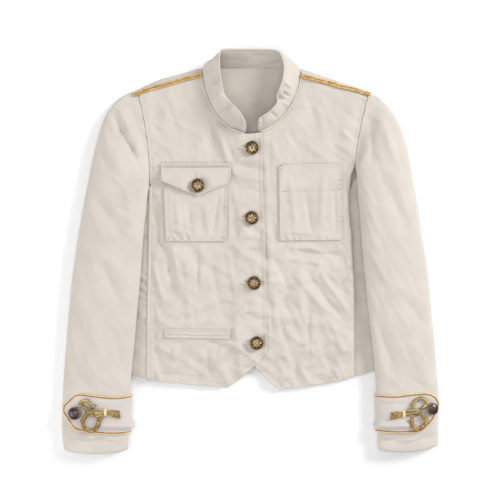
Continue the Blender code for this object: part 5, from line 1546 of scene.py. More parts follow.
def flap_face(x, y):
    dent = sewn_dent(x, y, flap_stitched[:1]) + sewn_dent(x, y, flap_stitched[1:], 1.7, 1.3)
    ridge = 1.1 * np.exp(-((y - 140.0) / 2.4) ** 2) + turned_edge(x, y, all_round(POCKET_FLAP))
    button_x, button_y = FLAP_BUTTON_PLACE
    free = smooth((POCKET_FLAP[0][1] - 10.0 - y) / 16.0)
    free = free * smooth((np.hypot(x - button_x, y - button_y) - 9.0) / 16.0)
    return (x, y, top_front_z(x, y) + flap_lift(x, y) + 0.4 * pocket_z(x, y) - dent + ridge + 3.4 * free
            + 1.5 * under_pocket(x, y))


def patch_face(x, y):
    mouth = 0.45 * smooth((y - 97.4) / 1.5)
    level = front_z(x, y) + pocket_z(x, y) + turned_edge(x, y, all_round(PATCH_POCKET))
    return x, y, level + mouth - sewn_dent(x, y, patch_rows + [patch_hem])


def welt_face(x, y):
    edge = turned_edge(x, y, all_round(WELT))
    edge = edge + 2.6 * under_pocket(x, y)
    return x, y, top_front_z(x, y) + edge - sewn_dent(x, y, welt_rows, 1.4, 1.1)


pocket_pieces = [
    ("pocket_body", POCKET_BODY, body_face, POCKET_CLOTH, body_rows, (0.103, 0.108), 0.0108,
     ["front_right_cloth"]),
    ("pocket_flap", POCKET_FLAP, flap_face, FLAP_CLOTH, flap_stitched, (0.113, 0.054), 0.0046,
     ["front_right_cloth", "pocket_body_cloth"]),
    ("patch_pocket", PATCH_POCKET, patch_face, POCKET_CLOTH, patch_rows + [patch_hem],
     (0.102, 0.123), 0.0122, ["front_left_cloth"]),
    ("welt", WELT, welt_face, POCKET_CLOTH, welt_rows, (0.107, 0.018), 0.00178,
     ["front_right_cloth"]),
]
for node, corners, face, cloth, sewn_rows, flat, area, under in pocket_pieces:
    piece = cut_panel(node + "_cloth", outline_points(corners, 2.0), face, cloth, 2.4, ecru_twill,
                      rows=furrow_rows(sewn_rows), round_edge=0.5, lift=LAY_GAP)
    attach(piece, "root")
    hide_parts(node)
    sewn = [row_on(face, line, LAY_GAP + cloth) for line in sewn_rows]
    bold = 0.75 if node == "pocket_flap" else 0.5
    stitches(node + "_stitches", [row[0] for row in sewn], [row[1] for row in sewn], ecru_thread,
             gap=1.6, thick=bold)

# Worked buttonholes: a bar of close thread on each side of the cut, level along the
# closing and upright on the flap.
BUTTONHOLES = [
    (-16.8, 167.2, -5.6, 166.9, top_front_z, CLOTH),
    (-17.6, 55.8, -6.4, 55.2, top_front_z, CLOTH),
    (-14.4, -48.8, -3.2, -49.1, top_front_z, CLOTH),
    (-9.6, -145.4, 1.6, -145.1, top_front_z, CLOTH),
    (-84.8, 128.2, -84.8, 118.2, lambda x, y: flap_face(x, y)[2], LAY_GAP + FLAP_CLOTH),
]
bars = []
for x0, y0, x1, y1, height, cloth in BUTTONHOLES:
    line = even_line([(x0, y0), (x1, y1)], 0.6)
    for side in (-0.75, 0.75):
        moved = offset_line(line, side)
        lift = height(moved[:, 0], moved[:, 1]) + cloth
        places = np.column_stack((moved, lift + 0.12 + 0.10 * np.cos(np.arange(len(moved)) * np.pi)))
        bars.append(sweep(places, np.tile((0.0, 0.0, 1.0), (len(places), 1)),
                          round_profile(0.85, 6)))
buttonholes = joined("buttonhole_bars", bars, ecru_thread)
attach(buttonholes, "root")


# The buttons: stamped brass, antiqued dark in the ground and rubbed bright on the raised
# parts, with a roped rim and an eight-petalled rosette. Each has a shank, sewn through
# the cloth below it.
BUTTON_RADIUS = 11.4
FRONT_BUTTONS = [
    ("button_1", 1.6, 167.2, LAP_LIFT),
    ("button_2", 1.0, 55.2, LAP_LIFT),
    ("button_3", 4.8, -48.8, LAP_LIFT),
    ("button_4", 9.1, -144.8, LAP_LIFT),
    ("button_flap", -85.1, 107.0, POCKET_CLOTH + FLAP_CLOTH + 2.0 * LAY_GAP),
]


def metal_finish(name, colour, dark, rough):
    """Brass with a patina that lies unevenly on it."""
    finish = bpy.data.materials.new(name)
    finish.use_nodes = True
    nodes = finish.node_tree.nodes
    links = finish.node_tree.links
    shader = nodes["Principled BSDF"]
    shader.inputs["Metallic"].default_value = 0.92
    place = nodes.new("ShaderNodeTexCoord")
    patina = nodes.new("ShaderNodeTexNoise")
    patina.inputs["Scale"].default_value = 320.0
    patina.inputs["Detail"].default_value = 5.0
    links.new(place.outputs["Object"], patina.inputs["Vector"])
    tone = nodes.new("ShaderNodeValToRGB")
    tone.color_ramp.elements[0].position = 0.32
    tone.color_ramp.elements[0].color = (*dark, 1.0)
    tone.color_ramp.elements[1].position = 0.62
    tone.color_ramp.elements[1].color = (*colour, 1.0)
    links.new(patina.outputs["Fac"], tone.inputs["Fac"])
    links.new(tone.outputs["Color"], shader.inputs["Base Color"])
    dull = nodes.new("ShaderNodeMapRange")
    dull.inputs["To Min"].default_value = rough + 0.12
    dull.inputs["To Max"].default_value = rough - 0.06
    links.new(patina.outputs["Fac"], dull.inputs["Value"])
    links.new(dull.outputs["Result"], shader.inputs["Roughness"])
    pits = nodes.new("ShaderNodeBump")
    pits.inputs["Strength"].default_value = 0.25
    pits.inputs["Distance"].default_value = 0.00015
    links.new(patina.outputs["Fac"], pits.inputs["Height"])
    links.new(pits.outputs["Normal"], shader.inputs["Normal"])
    return finish


brass_ground = metal_finish("brass_ground", (0.15, 0.10, 0.055), (0.05, 0.032, 0.018), 0.42)
brass_rubbed = metal_finish("brass_rubbed", (0.60, 0.44, 0.25), (0.15, 0.10, 0.05), 0.26)


def button_height(r, angle, radius, relief=1.0):
    """Height of the button's face over its seat, by radius and bearing."""
    share = r / radius
    dome = 3.7 + (2.6 - 1.1 * relief) * (1.0 - (share / 0.82) ** 2)
    rope = 0.35 * np.maximum(0.0, np.sin(angle * 30.0 + share * 34.0))
    rim = 4.2 + 0.9 * np.exp(-((share - 0.905) / 0.05) ** 2) + rope * np.exp(-((share - 0.905) / 0.04) ** 2)
    petal = np.abs(np.cos(4.0 * angle))
    reach = 0.30 + 0.34 * petal ** 0.7
    leaf = smooth((reach - share) / 0.07) * smooth((share - 0.17) / 0.05)
    rib = 0.4 * np.exp(-(np.sin(4.0 * angle) * share / 0.05) ** 2)
    star = 0.75 * relief * leaf * (1.0 + rib * 0.6 - 0.5 * share)
    boss = 0.9 * relief * quarter((0.15 - share) / 0.1)
    beads = 0.42 * np.maximum(0.0, np.cos(24.0 * angle)) * np.exp(-((share - 0.755) / 0.035) ** 2)
    face = dome + star + boss + beads
    inner = np.where(share < 0.84, face, rim)
    fall = np.where(share > 0.955, 2.2 * ((share - 0.955) / 0.045) ** 2, 0.0)
    raised = star + boss + beads + np.where(share > 0.86, 0.5, 0.0)
    return inner - fall, raised


def metal_button(name, centre, up, radius, ground, rubbed, node, relief=1.0):
    around = 144
    shares = np.concatenate((np.linspace(0.035, 0.84, 30), np.linspace(0.855, 0.955, 7),
                             [0.975, 0.99, 1.0]))
    angle = 2.0 * np.pi * np.arange(around) / around
    r, a = np.meshgrid(shares * radius, angle, indexing="ij")
    z, raised = button_height(r, a, radius, relief)
    raised = np.where(relief < 1.0, np.where(r > 0.86 * radius, 1.0, 0.0), raised)
    turn = np.array(Vector((0.0, 0.0, 1.0)).rotation_difference(Vector(up)).to_matrix())
    rings = [np.stack((r * np.cos(a), r * np.sin(a), z), axis=2).reshape(-1, 3)]
    low = [(0.985, 1.8), (0.90, 1.15), (0.5, 0.9), (0.24, 0.8), (0.21, 0.0)]
    for share, height in low:
        rings.append(np.stack((share * radius * np.cos(angle), share * radius * np.sin(angle),
                               np.full(around, height)), axis=1))
    crown = float(button_height(np.array(0.0), np.array(0.0), radius, relief)[0])
    points = np.concatenate(rings + [np.array([[0.0, 0.0, crown], [0.0, 0.0, 0.0]])])
    faces = []
    tones = []
    count = len(shares) + len(low)
    for k in range(count - 1):
        for j in range(around):
            p = k * around + j
            q = k * around + (j + 1) % around
            faces.append((p, p + around, q + around, q))
            tones.append(1 if k < len(shares) - 1 and raised[k, j] > 0.24 else 0)
    last = (count - 1) * around
    for j in range(around):
        q = (j + 1) % around
        faces.append((len(points) - 2, j, q))
        tones.append(1 if relief == 1.0 else 0)
        faces.append((last + q, last + j, len(points) - 1))
        tones.append(0)
    points = np.array(centre) + points @ turn.T
    piece = cloth_mesh(name, points, faces, ground)
    piece.data.materials.append(rubbed)
    piece.data.polygons.foreach_set("material_index", tones)
    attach(piece, "root")
    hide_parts(node)
    return piece


for node, x, y, seat in FRONT_BUTTONS:
    bearings = np.arange(7)
    level = front_form(x + 9.0 * np.cos(bearings), y + 9.0 * np.sin(bearings)).max()
    metal_button(node + "_brass", (x, y, level + seat + 0.5), (0.0, 0.0, 1.0), BUTTON_RADIUS,
                 brass_ground, brass_rubbed, node)


# The shoulder cords: two gilt cords side by side from the neck to the sleeve, each laid
# up from three metallic yarns, couched down along the shoulder and finished in a knot.
CORD_RADIUS = 1.9
CORD_LINE_RIGHT = [
    (-79.4, 283.7), (-100.8, 277.9), (-126.4, 270.9), (-148.8, 264.5), (-169.6, 258.4), (-186.2, 253.0),
]
CORD_LINE_LEFT = [
    (81.0, 282.4), (102.4, 276.6), (126.4, 270.2), (150.4, 263.8), (171.2, 258.1), (189.8, 252.3),
]


def yarn_finish(name, colour, dark, rough=0.38, metal=0.55):
    """Metallic yarn: bright wraps, darker between them: partly the thread below, partly painted shade in the
    gaps.
    """
    finish = bpy.data.materials.new(name)
    finish.use_nodes = True
    nodes = finish.node_tree.nodes
    links = finish.node_tree.links
    shader = nodes["Principled BSDF"]
    shader.inputs["Metallic"].default_value = metal
    shader.inputs["Roughness"].default_value = rough
    place = nodes.new("ShaderNodeTexCoord")
    wraps = nodes.new("ShaderNodeTexNoise")
    wraps.inputs["Scale"].default_value = 1500.0
    wraps.inputs["Detail"].default_value = 2.0
    links.new(place.outputs["Object"], wraps.inputs["Vector"])
    broad = nodes.new("ShaderNodeTexNoise")
    broad.inputs["Scale"].default_value = 170.0
    links.new(place.outputs["Object"], broad.inputs["Vector"])
    both = nodes.new("ShaderNodeMix")
    both.data_type = "FLOAT"
    both.inputs["Factor"].default_value = 0.45
    links.new(wraps.outputs["Fac"], both.inputs["A"])
    links.new(broad.outputs["Fac"], both.inputs["B"])
    # The dark end of this ramp is partly the core thread's colour and partly painted shade between the wraps,
    # where the bump is low.
    tone = nodes.new("ShaderNodeValToRGB")
    tone.color_ramp.elements[0].position = 0.38
    tone.color_ramp.elements[0].color = (*dark, 1.0)
    tone.color_ramp.elements[1].position = 0.6
    tone.color_ramp.elements[1].color = (*colour, 1.0)
    links.new(both.outputs["Result"], tone.inputs["Fac"])
    links.new(tone.outputs["Color"], shader.inputs["Base Color"])
    lumps = nodes.new("ShaderNodeBump")
    lumps.inputs["Strength"].default_value = 0.5
    lumps.inputs["Distance"].default_value = 0.00025
    links.new(wraps.outputs["Fac"], lumps.inputs["Height"])
    links.new(lumps.outputs["Normal"], shader.inputs["Normal"])
    return finish


# The dark second colour of this gilt finish is partly the thread and partly painted shade between the wraps.
gilt_yarn = yarn_finish("gilt_yarn", (0.80, 0.56, 0.24), (0.46, 0.28, 0.10))


def laid_cord(centres, ups, radius, pitch, strands=3, start=0.0):
    """Yarns twisted round each other along a line: one swept tube for each yarn."""
    centres = even_line(np.array(centres), 0.55)
    ups = np.stack([np.interp(np.linspace(0, 1, len(centres)), np.linspace(0, 1, len(ups)),
                              np.array(ups)[:, k]) for k in range(3)], axis=1)
    ahead = np.gradient(centres, axis=0)
    ahead /= np.maximum(np.linalg.norm(ahead, axis=1), 1e-9)[:, None]
    side = np.cross(ahead, ups)
    side /= np.maximum(np.linalg.norm(side, axis=1), 1e-9)[:, None]
    up = np.cross(side, ahead)
    run = np.arange(len(centres)) * 0.55
    parts = []
    thick = radius * (0.56 if strands == 3 else 0.52)
    for strand in range(strands):
        turn = 2.0 * np.pi * (run / pitch + strand / strands) + start
        out = radius - thick
        line = centres + out * (side * np.cos(turn)[:, None] + up * np.sin(turn)[:, None])
        parts.append(sweep(line, ups, round_profile(thick, 7)))
    return parts


def shoulder_cords(name, line, node, hand):
    rising = sorted(line)
    x = np.linspace(line[0][0], line[-1][0], 60)
    y = along(rising, x)
    z = front_z(x, y)
    slope_x = (front_z(x + 1.0, y) - front_z(x - 1.0, y)) / 2.0
    slope_y = (front_z(x, y + 1.0) - front_z(x, y - 1.0)) / 2.0
    up = np.stack((-slope_x, -slope_y, np.ones_like(x)), axis=1)
    up /= np.linalg.norm(up, axis=1)[:, None]
    centres = np.stack((x, y, z), axis=1) + up * (CORD_RADIUS + 0.6)
    ahead = np.gradient(centres, axis=0)
    side = np.cross(ahead, up)
    side /= np.linalg.norm(side, axis=1)[:, None]
    parts = []
    for lobe in (-1.0, 1.0):
        parts += laid_cord(centres + side * lobe * 0.93 * CORD_RADIUS, up, CORD_RADIUS,
                           hand * lobe * 6.4, start=lobe)
    for end in (0, -1):
        knot_line = centres[end] + side[end] * np.linspace(-3.6, 3.6, 16)[:, None] - up[end] * 0.2
        parts += laid_cord(knot_line, np.tile(up[end], (16, 1)), 1.75, 4.0)
    piece = joined(name, parts, gilt_yarn)
    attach(piece, "root")
    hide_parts(node)


shoulder_cords("shoulder_cords_right", CORD_LINE_RIGHT, "cord_right", 1.0)
shoulder_cords("shoulder_cords_left", CORD_LINE_LEFT, "cord_left", -1.0)


# The cuff tabs: a strap of white twill sewn in at the inner seam and laid round the top
# of each cuff to a rounded point, edged with gilt piping. The lower part is left loose and
# puffs up a little.
BAND_CLOTH = 1.6
BAND_GAP = 0.9
PIPING_RADIUS = 1.2
RIGHT_BAND = [
    (0.00, -229.6, -285.6), (0.19, -232.2, -287.2), (0.47, -230.4, -285.9),
    (0.70, -227.0, -282.7), (0.80, -228.3, -279.2), (0.86, -234.9, -270.4),
    (0.92, -241.1, -260.3), (0.955, -246.2, -254.6),
]
LEFT_BAND = [
    (0.00, -228.5, -283.2), (0.30, -230.2, -285.3), (0.50, -227.8, -284.5),
    (0.69, -226.2, -283.0), (0.81, -226.1, -273.1), (0.89, -229.3, -263.5),
    (0.935, -233.8, -253.6), (0.965, -239.2, -245.6),
]
# x0, y0, x1, y1, half width, height
BAND_CREASES = [
    (-233.6, -274.1, -198.4, -275.7, 10.5, 7.5),
    (-238.4, -263.5, -198.4, -265.4, 3.6, -1.2),
    (-244.8, -239.2, -203.2, -241.4, 6.0, 0.5),
    (-248.0, -246.6, -203.2, -247.2, 4.0, -0.5),
    (204.8, -276.0, 249.6, -274.7, 8.5, 5.0),
    (204.8, -265.8, 251.2, -267.0, 3.2, -1.2),
    (209.6, -242.4, 241.6, -241.4, 3.4, -0.7),
    (206.4, -235.4, 244.8, -234.4, 5.0, 0.4),
    (206.4, -253.6, 225.6, -256.2, 6.0, 0.4),
]

white_twill = twill("white_twill", (0.66, 0.605, 0.565), pitch=0.0009, soil=0.03)
piping_pale = yarn_finish("piping_pale", (0.90, 0.76, 0.48), (0.72, 0.54, 0.28), 0.4, 0.15)
# The deep piping finish: a deeper orange, partly the cord's own yarn and partly painted shade on the piping's
# inner side.
piping_deep_and_shade = yarn_finish("piping_deep_and_shade", (0.56, 0.30, 0.10), (0.36, 0.18, 0.06), 0.45, 0.3)


def place_on_sleeve(table, x, y):
    """Row and angle of a place on top of a sleeve's lower half."""
    x = np.asarray(x, dtype=float)
    y = np.asarray(y, dtype=float)
    v = np.full(x.shape, 13.0)
    u = np.full(x.shape, 0.5)
    for k in range(30):
        row = table_row(table, v)
        u = np.clip((x - row[..., 0]) / (row[..., 2] - row[..., 0]), 0.01, 0.99)
        across = row[..., 1] + u * (row[..., 3] - row[..., 1])
        across = across - row[..., 5] * 4.0 * u * (1.0 - u) * np.sign(row[..., 2] - row[..., 0])
        v = np.clip(v + 0.7 * (across - y) / 42.0, 7.0, 14.0)
    return v, angle_of(table, v, u)


def on_sleeve(table, v, angle, small=1.0):
    """Places on a sleeve and their outward directions."""
    place = np.stack(sleeve_place(table, v, angle, 0.0, small), axis=-1)
    dv = (np.stack(sleeve_place(table, v + 0.03, angle, 0.0, 0.0), axis=-1)
          - np.stack(sleeve_place(table, v - 0.03, angle, 0.0, 0.0), axis=-1))
    da = (np.stack(sleeve_place(table, v, angle + 0.04, 0.0, 0.0), axis=-1)
          - np.stack(sleeve_place(table, v, angle - 0.04, 0.0, 0.0), axis=-1))
    normal = np.cross(dv, da)
    normal /= np.maximum(np.linalg.norm(normal, axis=-1), 1e-9)[..., None]
    middle = 0.5 * (np.stack(sleeve_place(table, v, angle * 0.0 + 0.5 * np.pi, 0.0, 0.0), axis=-1)
                    + np.stack(sleeve_place(table, v, angle * 0.0 + 1.5 * np.pi, 0.0, 0.0), axis=-1))
    inward = np.sum(normal * (place - middle), axis=-1) < 0.0
    return place, np.where(inward[..., None], -normal, normal)


def row_at(table, u, y):
    """Row of a sleeve where it passes y at a share u of its width."""
    low = np.full(np.shape(u), 8.0)
    high = np.full(np.shape(u), float(len(table) - 1))
    for k in range(30):
        middle = 0.5 * (low + high)
        above = sleeve_place(table, middle, angle_of(table, middle, u), 0.0, 0.0)[1] > y
        low = np.where(above, middle, low)
        high = np.where(above, high, middle)
    return 0.5 * (low + high)


def tab_edges(table, band):
    """Angle and row along the upper and the lower edge of a cuff tab."""
    degrees = np.arange(-13.0, 53.0, 2.2)
    turn = np.radians(degrees)
    u = np.where(turn > 0.0, 0.5 - 0.5 * np.abs(np.cos(turn)) ** 0.75, 0.0)
    fine = table_row(band, np.linspace(0.0, len(band) - 1.0, 420))
    upper = row_at(table, u, np.interp(u, fine[:, 0], fine[:, 1]))
    lower = row_at(table, u, np.interp(u, fine[:, 0], fine[:, 2]))
    run = np.concatenate(([0.0], np.cumsum(np.hypot(np.diff(fine[:, 0]) * 100.0,
                                                    np.diff(fine[:, 1] - fine[:, 2])))))
    start = np.searchsorted(fine[:, 0], 0.25)
    marks = np.linspace(run[start], run[-1], 86)
    share = np.interp(marks, run, fine[:, 0])
    top = row_at(table, share, np.interp(marks, run, fine[:, 1]))
    bottom = row_at(table, share, np.interp(marks, run, fine[:, 2]))
    top_angle = np.concatenate((turn, angle_of(table, top, share)))
    bottom_angle = np.concatenate((turn, angle_of(table, bottom, share)))
    return top_angle, bottom_angle, np.concatenate((upper, top)), np.concatenate((lower, bottom))


def cuff_tab(side, table, band):
    top_angle, bottom_angle, upper, lower = tab_edges(table, band)
    t = 0.5 - 0.5 * np.cos(np.pi * np.linspace(0.0, 1.0, 44))
    v = upper[:, None] + (lower - upper)[:, None] * t
    angle = top_angle[:, None] + (bottom_angle - top_angle)[:, None] * t
    place, normal = on_sleeve(table, v, angle)
    x, y = place[:, :, 0], place[:, :, 1]
    near = np.minimum(*edge_distance(place, 1))
    puffed = (folds(x, y, BAND_CREASES) + 0.12 * handling(x, y)) * smooth(near / 5.0)
    round_edge = 0.6 * (1.0 - quarter(near / 1.1))
    dent = 0.3 * np.exp(-((near - 2.6) / 0.9) ** 2)
    piece = two_walls("cuff_tab_" + side, place, normal,
                      BAND_GAP + round_edge * 0.5 + np.maximum(puffed, -0.3) * 0.5,
                      BAND_GAP + BAND_CLOTH - round_edge + np.maximum(puffed, -0.9) - dent,
                      white_twill)
    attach(piece, "root")
    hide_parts("band_" + side)
    rows = []
    for j in (5, -6):
        rows.append((place[4:-8, j] + normal[4:-8, j] * (BAND_GAP + BAND_CLOTH - 0.25),
                     normal[4:-8, j]))
    stitches("cuff_tab_stitches_" + side, [row[0] for row in rows], [row[1] for row in rows],
             white_thread, long=2.0, gap=1.0, thick=0.32)
    return piece


def cuff_piping(side, table, band):
    """A fine twisted cord along the tab's two long edges and round its point."""
    top_angle, bottom_angle, upper, lower = tab_edges(table, band)
    angle = np.concatenate((top_angle, bottom_angle[::-1]))
    v = np.concatenate((upper, lower[::-1]))
    place, normal = on_sleeve(table, v, angle)
    path = even_line(np.concatenate((place, normal * 1e-6), axis=1), 0.8)
    marks = np.linspace(0.0, 1.0, len(path))
    runs = np.concatenate(([0.0], np.cumsum(np.linalg.norm(np.diff(place, axis=0), axis=1))))
    up = np.stack([np.interp(marks, runs / runs[-1], normal[:, k]) for k in range(3)], axis=1)
    up /= np.linalg.norm(up, axis=1)[:, None]
    place = path[:, :3]
    for smoothing in range(6):
        place[1:-1] = 0.25 * place[:-2] + 0.5 * place[1:-1] + 0.25 * place[2:]
    ahead = np.gradient(place, axis=0)
    ahead /= np.linalg.norm(ahead, axis=1)[:, None]
    out = np.cross(ahead, up)
    out /= np.linalg.norm(out, axis=1)[:, None]
    centre_v = np.array(0.5 * (upper[8] + lower[8]))
    middle = on_sleeve(table, centre_v, np.array(0.5 * (top_angle[0] + top_angle[-1])))[0]
    if np.sum(out * (middle - place)) > 0.0:
        out = -out
    centres = place + out * (PIPING_RADIUS + 0.4) + up * (PIPING_RADIUS + 0.9)
    around = 10
    base = round_profile(PIPING_RADIUS, around)
    run = np.arange(len(centres))[:, None] * 0.8
    ripple = 1.0 + 0.10 * np.sin(2.0 * np.pi * (run / 2.4 + np.arange(around)[None, :] / around))
    points, faces = sweep(centres, up, base[None] * ripple[:, :, None])
    piece = cloth_mesh("cuff_piping_" + side, points, faces, piping_pale)
    piece.data.materials.append(piping_deep_and_shade)
    # The inner side of the piping takes the deep finish: partly its deeper yarn, partly painted shade where it
    # faces the tab.
    side_way = np.cross(ahead, up)
    inner_sign = 1.0 if np.sum(side_way * out) < 0.0 else -1.0
    deep = [1 if inner_sign * math.cos(2.0 * math.pi * (j + 0.5) / around) > 0.5 else 0
            for j in range(around)]
    tones = deep * (len(centres) - 1) + [0, 0]
    piece.data.polygons.foreach_set("material_index", tones)
    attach(piece, "root")
    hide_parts("piping_" + side)
    # A thin deep-orange cord just inside the piping: partly its flange, partly a painted shadow line along it.
    flange_and_shade = centres - out * (PIPING_RADIUS + 0.7) + up * 0.25
    points, faces = sweep(flange_and_shade[3:-3], up[3:-3], round_profile(0.7, 7))
    flange_and_shade = cloth_mesh("cuff_piping_flange_" + side, points, faces, piping_deep_and_shade)
    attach(flange_and_shade, "root")


white_thread = thread_finish("white_thread", (0.78, 0.72, 0.68))
cuff_tab("right", RIGHT_SLEEVE, RIGHT_BAND)
cuff_tab("left", LEFT_SLEEVE, LEFT_BAND)
cuff_piping("right", RIGHT_SLEEVE, RIGHT_BAND)
cuff_piping("left", LEFT_SLEEVE, LEFT_BAND)


# The cuff ornaments: gilt cord led round the button, crossed and looped like a clover,
# gathered into a bundle, bound with flat wire and left to flare in a short tassel. The
# dark domed button in its gilt rim sits over the point of the tab.
RIGHT_KNOT = {
    "button": (-280.6, -256.2, 10.6),
    "upper": (-261.1, -243.0, 7.4, 1.7),
    "lower": (-255.4, -271.2, 10.4, 2.0),
    "bundle": (-267.8, -254.9, -236.2, -253.6, 5.6),
    "binding": (-234.6, -253.9, -229.8, -254.2, 6.4),
    "tassel": (-228.5, -254.6, -210.2, -258.1, 6.8),
}
LEFT_KNOT = {
    "button": (287.4, -249.1, 10.2),
    "upper": (267.2, -238.9, 7.0, 1.7),
    "lower": (265.9, -269.6, 10.0, 2.0),
    "bundle": (274.6, -252.6, 247.7, -256.2, 5.6),
    "binding": (246.1, -256.5, 241.3, -257.1, 6.4),
    "tassel": (240.0, -257.4, 223.4, -259.7, 6.6),
}
# The dark second colours of these gilt finishes are partly the core thread and partly painted shade between the
# wraps.
gilt_wire = yarn_finish("gilt_wire", (0.66, 0.52, 0.25), (0.11, 0.08, 0.025), 0.36, 0.45)
loop_yarn = yarn_finish("loop_yarn", (0.58, 0.37, 0.14), (0.11, 0.065, 0.02), 0.4, 0.4)
gilt_fringe = yarn_finish("gilt_fringe", (0.62, 0.46, 0.19), (0.15, 0.095, 0.028), 0.42, 0.45)
dome_ground = metal_finish("dome_ground", (0.135, 0.098, 0.096), (0.045, 0.032, 0.033), 0.3)
dome_rim = metal_finish("dome_rim", (0.62, 0.47, 0.27), (0.28, 0.19, 0.10), 0.32)
# routes of the cords on each cuff: part, radius, then x, y, lift
RIGHT_ROUTES = [
    ("loop_upper", 2.9, [
        (-259.8, -249.8, 0.4), (-266.2, -246.6, 0.1), (-270.9, -240.8, 0.0), (-268.8, -236.6, 0.0),
        (-263.4, -234.9, 0.0), (-258.2, -237.0, 0.0), (-255.7, -241.4, 0.1), (-252.2, -245.0, 0.3),
        (-248.3, -243.7, 0.2)]),
    ("loop_lower", 3.4, [
        (-259.2, -254.2, 0.9), (-264.0, -260.6, 0.2), (-267.5, -268.0, 0.0), (-266.2, -277.0, 0.0),
        (-260.8, -282.9, 0.0), (-253.8, -284.0, 0.0), (-247.0, -279.8, 0.0), (-243.4, -271.2, 0.1),
        (-242.1, -264.8, 0.6), (-236.8, -261.9, 1.2)]),
    ("v_upper", 2.3, [
        (-274.2, -244.0, 0.2), (-268.2, -246.2, 0.3), (-262.4, -250.4, 0.8), (-257.0, -255.2, 1.9),
        (-252.2, -259.4, 1.3), (-245.4, -260.6, 1.1), (-235.8, -257.4, 1.1)]),
    ("v_lower", 2.3, [
        (-271.0, -269.0, 0.1), (-266.2, -264.2, 0.4), (-261.8, -259.4, 0.9), (-257.0, -254.6, 0.9),
        (-252.2, -251.0, 0.8), (-244.8, -250.2, 0.9), (-235.8, -251.4, 1.1)]),
]
LEFT_ROUTES = [
    ("loop_upper", 3.0, [
        (271.4, -247.8, 0.6), (277.8, -242.7, 0.2), (279.0, -236.6, 0.0), (274.2, -232.8, 0.0),
        (267.8, -231.8, 0.0), (261.8, -235.0, 0.0), (257.3, -240.8, 0.0), (256.3, -246.9, 0.3)]),
    ("loop_lower", 3.4, [
        (272.6, -259.4, 0.6), (277.1, -265.8, 0.2), (277.1, -272.8, 0.0), (271.0, -278.6, 0.0),
        (264.0, -280.8, 0.0), (258.2, -277.6, 0.0), (255.7, -270.6, 0.0), (256.0, -263.8, 0.4)]),
    ("v_upper", 2.3, [
        (282.9, -240.2, 0.2), (276.8, -244.0, 0.4), (271.0, -249.4, 1.3), (265.0, -253.6, 1.2),
        (256.0, -255.8, 1.1), (246.7, -256.8, 1.1)]),
    ("v_lower", 2.3, [
        (281.3, -267.4, 0.2), (277.1, -262.2, 0.4), (272.0, -256.8, 1.0), (264.6, -250.7, 1.9),
        (256.0, -250.4, 1.2), (246.7, -253.0, 1.1)]),
]


def spot_on_tab(table, x, y, lift):
    v, angle = place_on_sleeve(table, x, y)
    place, up = on_sleeve(table, v, angle)
    base = BAND_GAP + BAND_CLOTH + 0.2
    return place + up * (base + np.asarray(lift))[..., None], up


def cord_route(table, stops, radius):
    """A cord through its stops, lying on the tab."""
    fine = table_row(stops, np.linspace(0.0, len(stops) - 1.0, 12 * len(stops)))
    centres, up = spot_on_tab(table, fine[:, 0], fine[:, 1], fine[:, 2] + radius)
    for smoothing in range(3):
        centres[1:-1] = 0.25 * centres[:-2] + 0.5 * centres[1:-1] + 0.25 * centres[2:]
    return centres, up


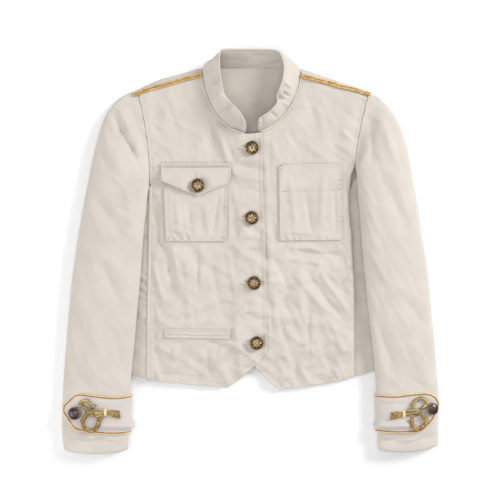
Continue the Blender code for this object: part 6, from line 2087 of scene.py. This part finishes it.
def cuff_ornament(side, table, routes, parts):
    pieces = {}
    for number, (part, radius, stops) in enumerate(routes):
        centres, up = cord_route(table, stops, radius)
        turned = laid_cord(centres, up, radius, 1.9 * radius if number % 2 else -1.9 * radius, strands=2)
        node = part if part.startswith("loop") else "bundle"
        pieces.setdefault(node, []).extend(turned)
    x1, y1, x2, y2, half = parts["bundle"]
    for ridge in (-0.8, -0.4, 0.0, 0.4, 0.8):
        t = np.linspace(0.3, 1.02, 30)
        x = x1 + (x2 - x1) * t
        y = y1 + (y2 - y1) * t + ridge * half * (1.25 - 0.35 * t)
        centres, up = spot_on_tab(table, x, y, 1.75 + 0.5 * np.sin(np.pi * t) - 0.4 * abs(ridge))
        swell = 1.15 + 0.2 * np.sin(np.pi * t)
        profile = np.stack([round_profile(r, 9) for r in swell])
        pieces["bundle"].append(sweep(centres, up, profile))
    x1, y1, x2, y2, half = parts["binding"]
    wound = []
    for turn in range(5):
        t = (turn + 0.5) / 5.0
        angle = np.linspace(0.12 * np.pi, 0.88 * np.pi, 22)
        across = half * 0.94 * np.cos(angle)
        x = x1 + (x2 - x1) * t + np.zeros(22)
        y = y1 + (y2 - y1) * t + across
        centres, up = spot_on_tab(table, x, y, 0.5 + 3.2 * np.sin(angle) ** 0.8)
        wound.append(sweep(centres, up, round_profile(0.62, 8)))
    core_t = np.linspace(0.0, 1.0, 6)
    centres, up = spot_on_tab(table, x1 + (x2 - x1) * core_t, y1 + (y2 - y1) * core_t,
                              1.6 + 0.0 * core_t)
    angle = 2.0 * np.pi * np.arange(16) / 16
    wound.append(sweep(centres, up, np.stack((5.2 * np.cos(angle), 1.55 * np.sin(angle)), axis=1)))
    pieces["binding"] = wound
    x1, y1, x2, y2, half = parts["tassel"]
    fringe = []
    for number in range(11):
        share = (number - 2.5) / 2.6 if number < 6 else (number - 8.0) / 2.5
        layer = 0.0 if number < 6 else 1.0
        t = np.linspace(0.0, 1.0 - 0.05 * math.sin(5.0 * number), 26)
        x = x1 + (x2 - x1) * t
        wave = 0.3 * np.sin(9.0 * t + 2.0 * number)
        y = y1 + (y2 - y1) * t + share * half * (0.5 + 0.38 * t) + wave
        lift = 1.0 + layer * (1.5 - 0.5 * t) + 0.35 * np.sin(7.0 * t + number) - 0.3 * abs(share)
        centres, up = spot_on_tab(table, x, y, lift)
        fringe += laid_cord(centres, up, 1.35, 3.4, strands=2, start=float(number))
    pieces["tassel"] = fringe
    finishes = {"loop_upper": gilt_wire, "loop_lower": loop_yarn, "bundle": gilt_wire,
                "binding": piping_pale, "tassel": gilt_fringe}
    for node, turned in pieces.items():
        piece = joined("%s_cord_%s" % (node, side), turned, finishes[node])
        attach(piece, "root")
        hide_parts("%s_%s" % (node, side))
    x, y, radius = parts["button"]
    centre, up = spot_on_tab(table, np.array(x), np.array(y), 0.3)
    metal_button("cuff_button_" + side, centre, tuple(up), radius, dome_ground, dome_rim,
                 "button_cuff_" + side, relief=0.25)


cuff_ornament("right", RIGHT_SLEEVE, RIGHT_ROUTES, RIGHT_KNOT)
cuff_ornament("left", LEFT_SLEEVE, LEFT_ROUTES, LEFT_KNOT)
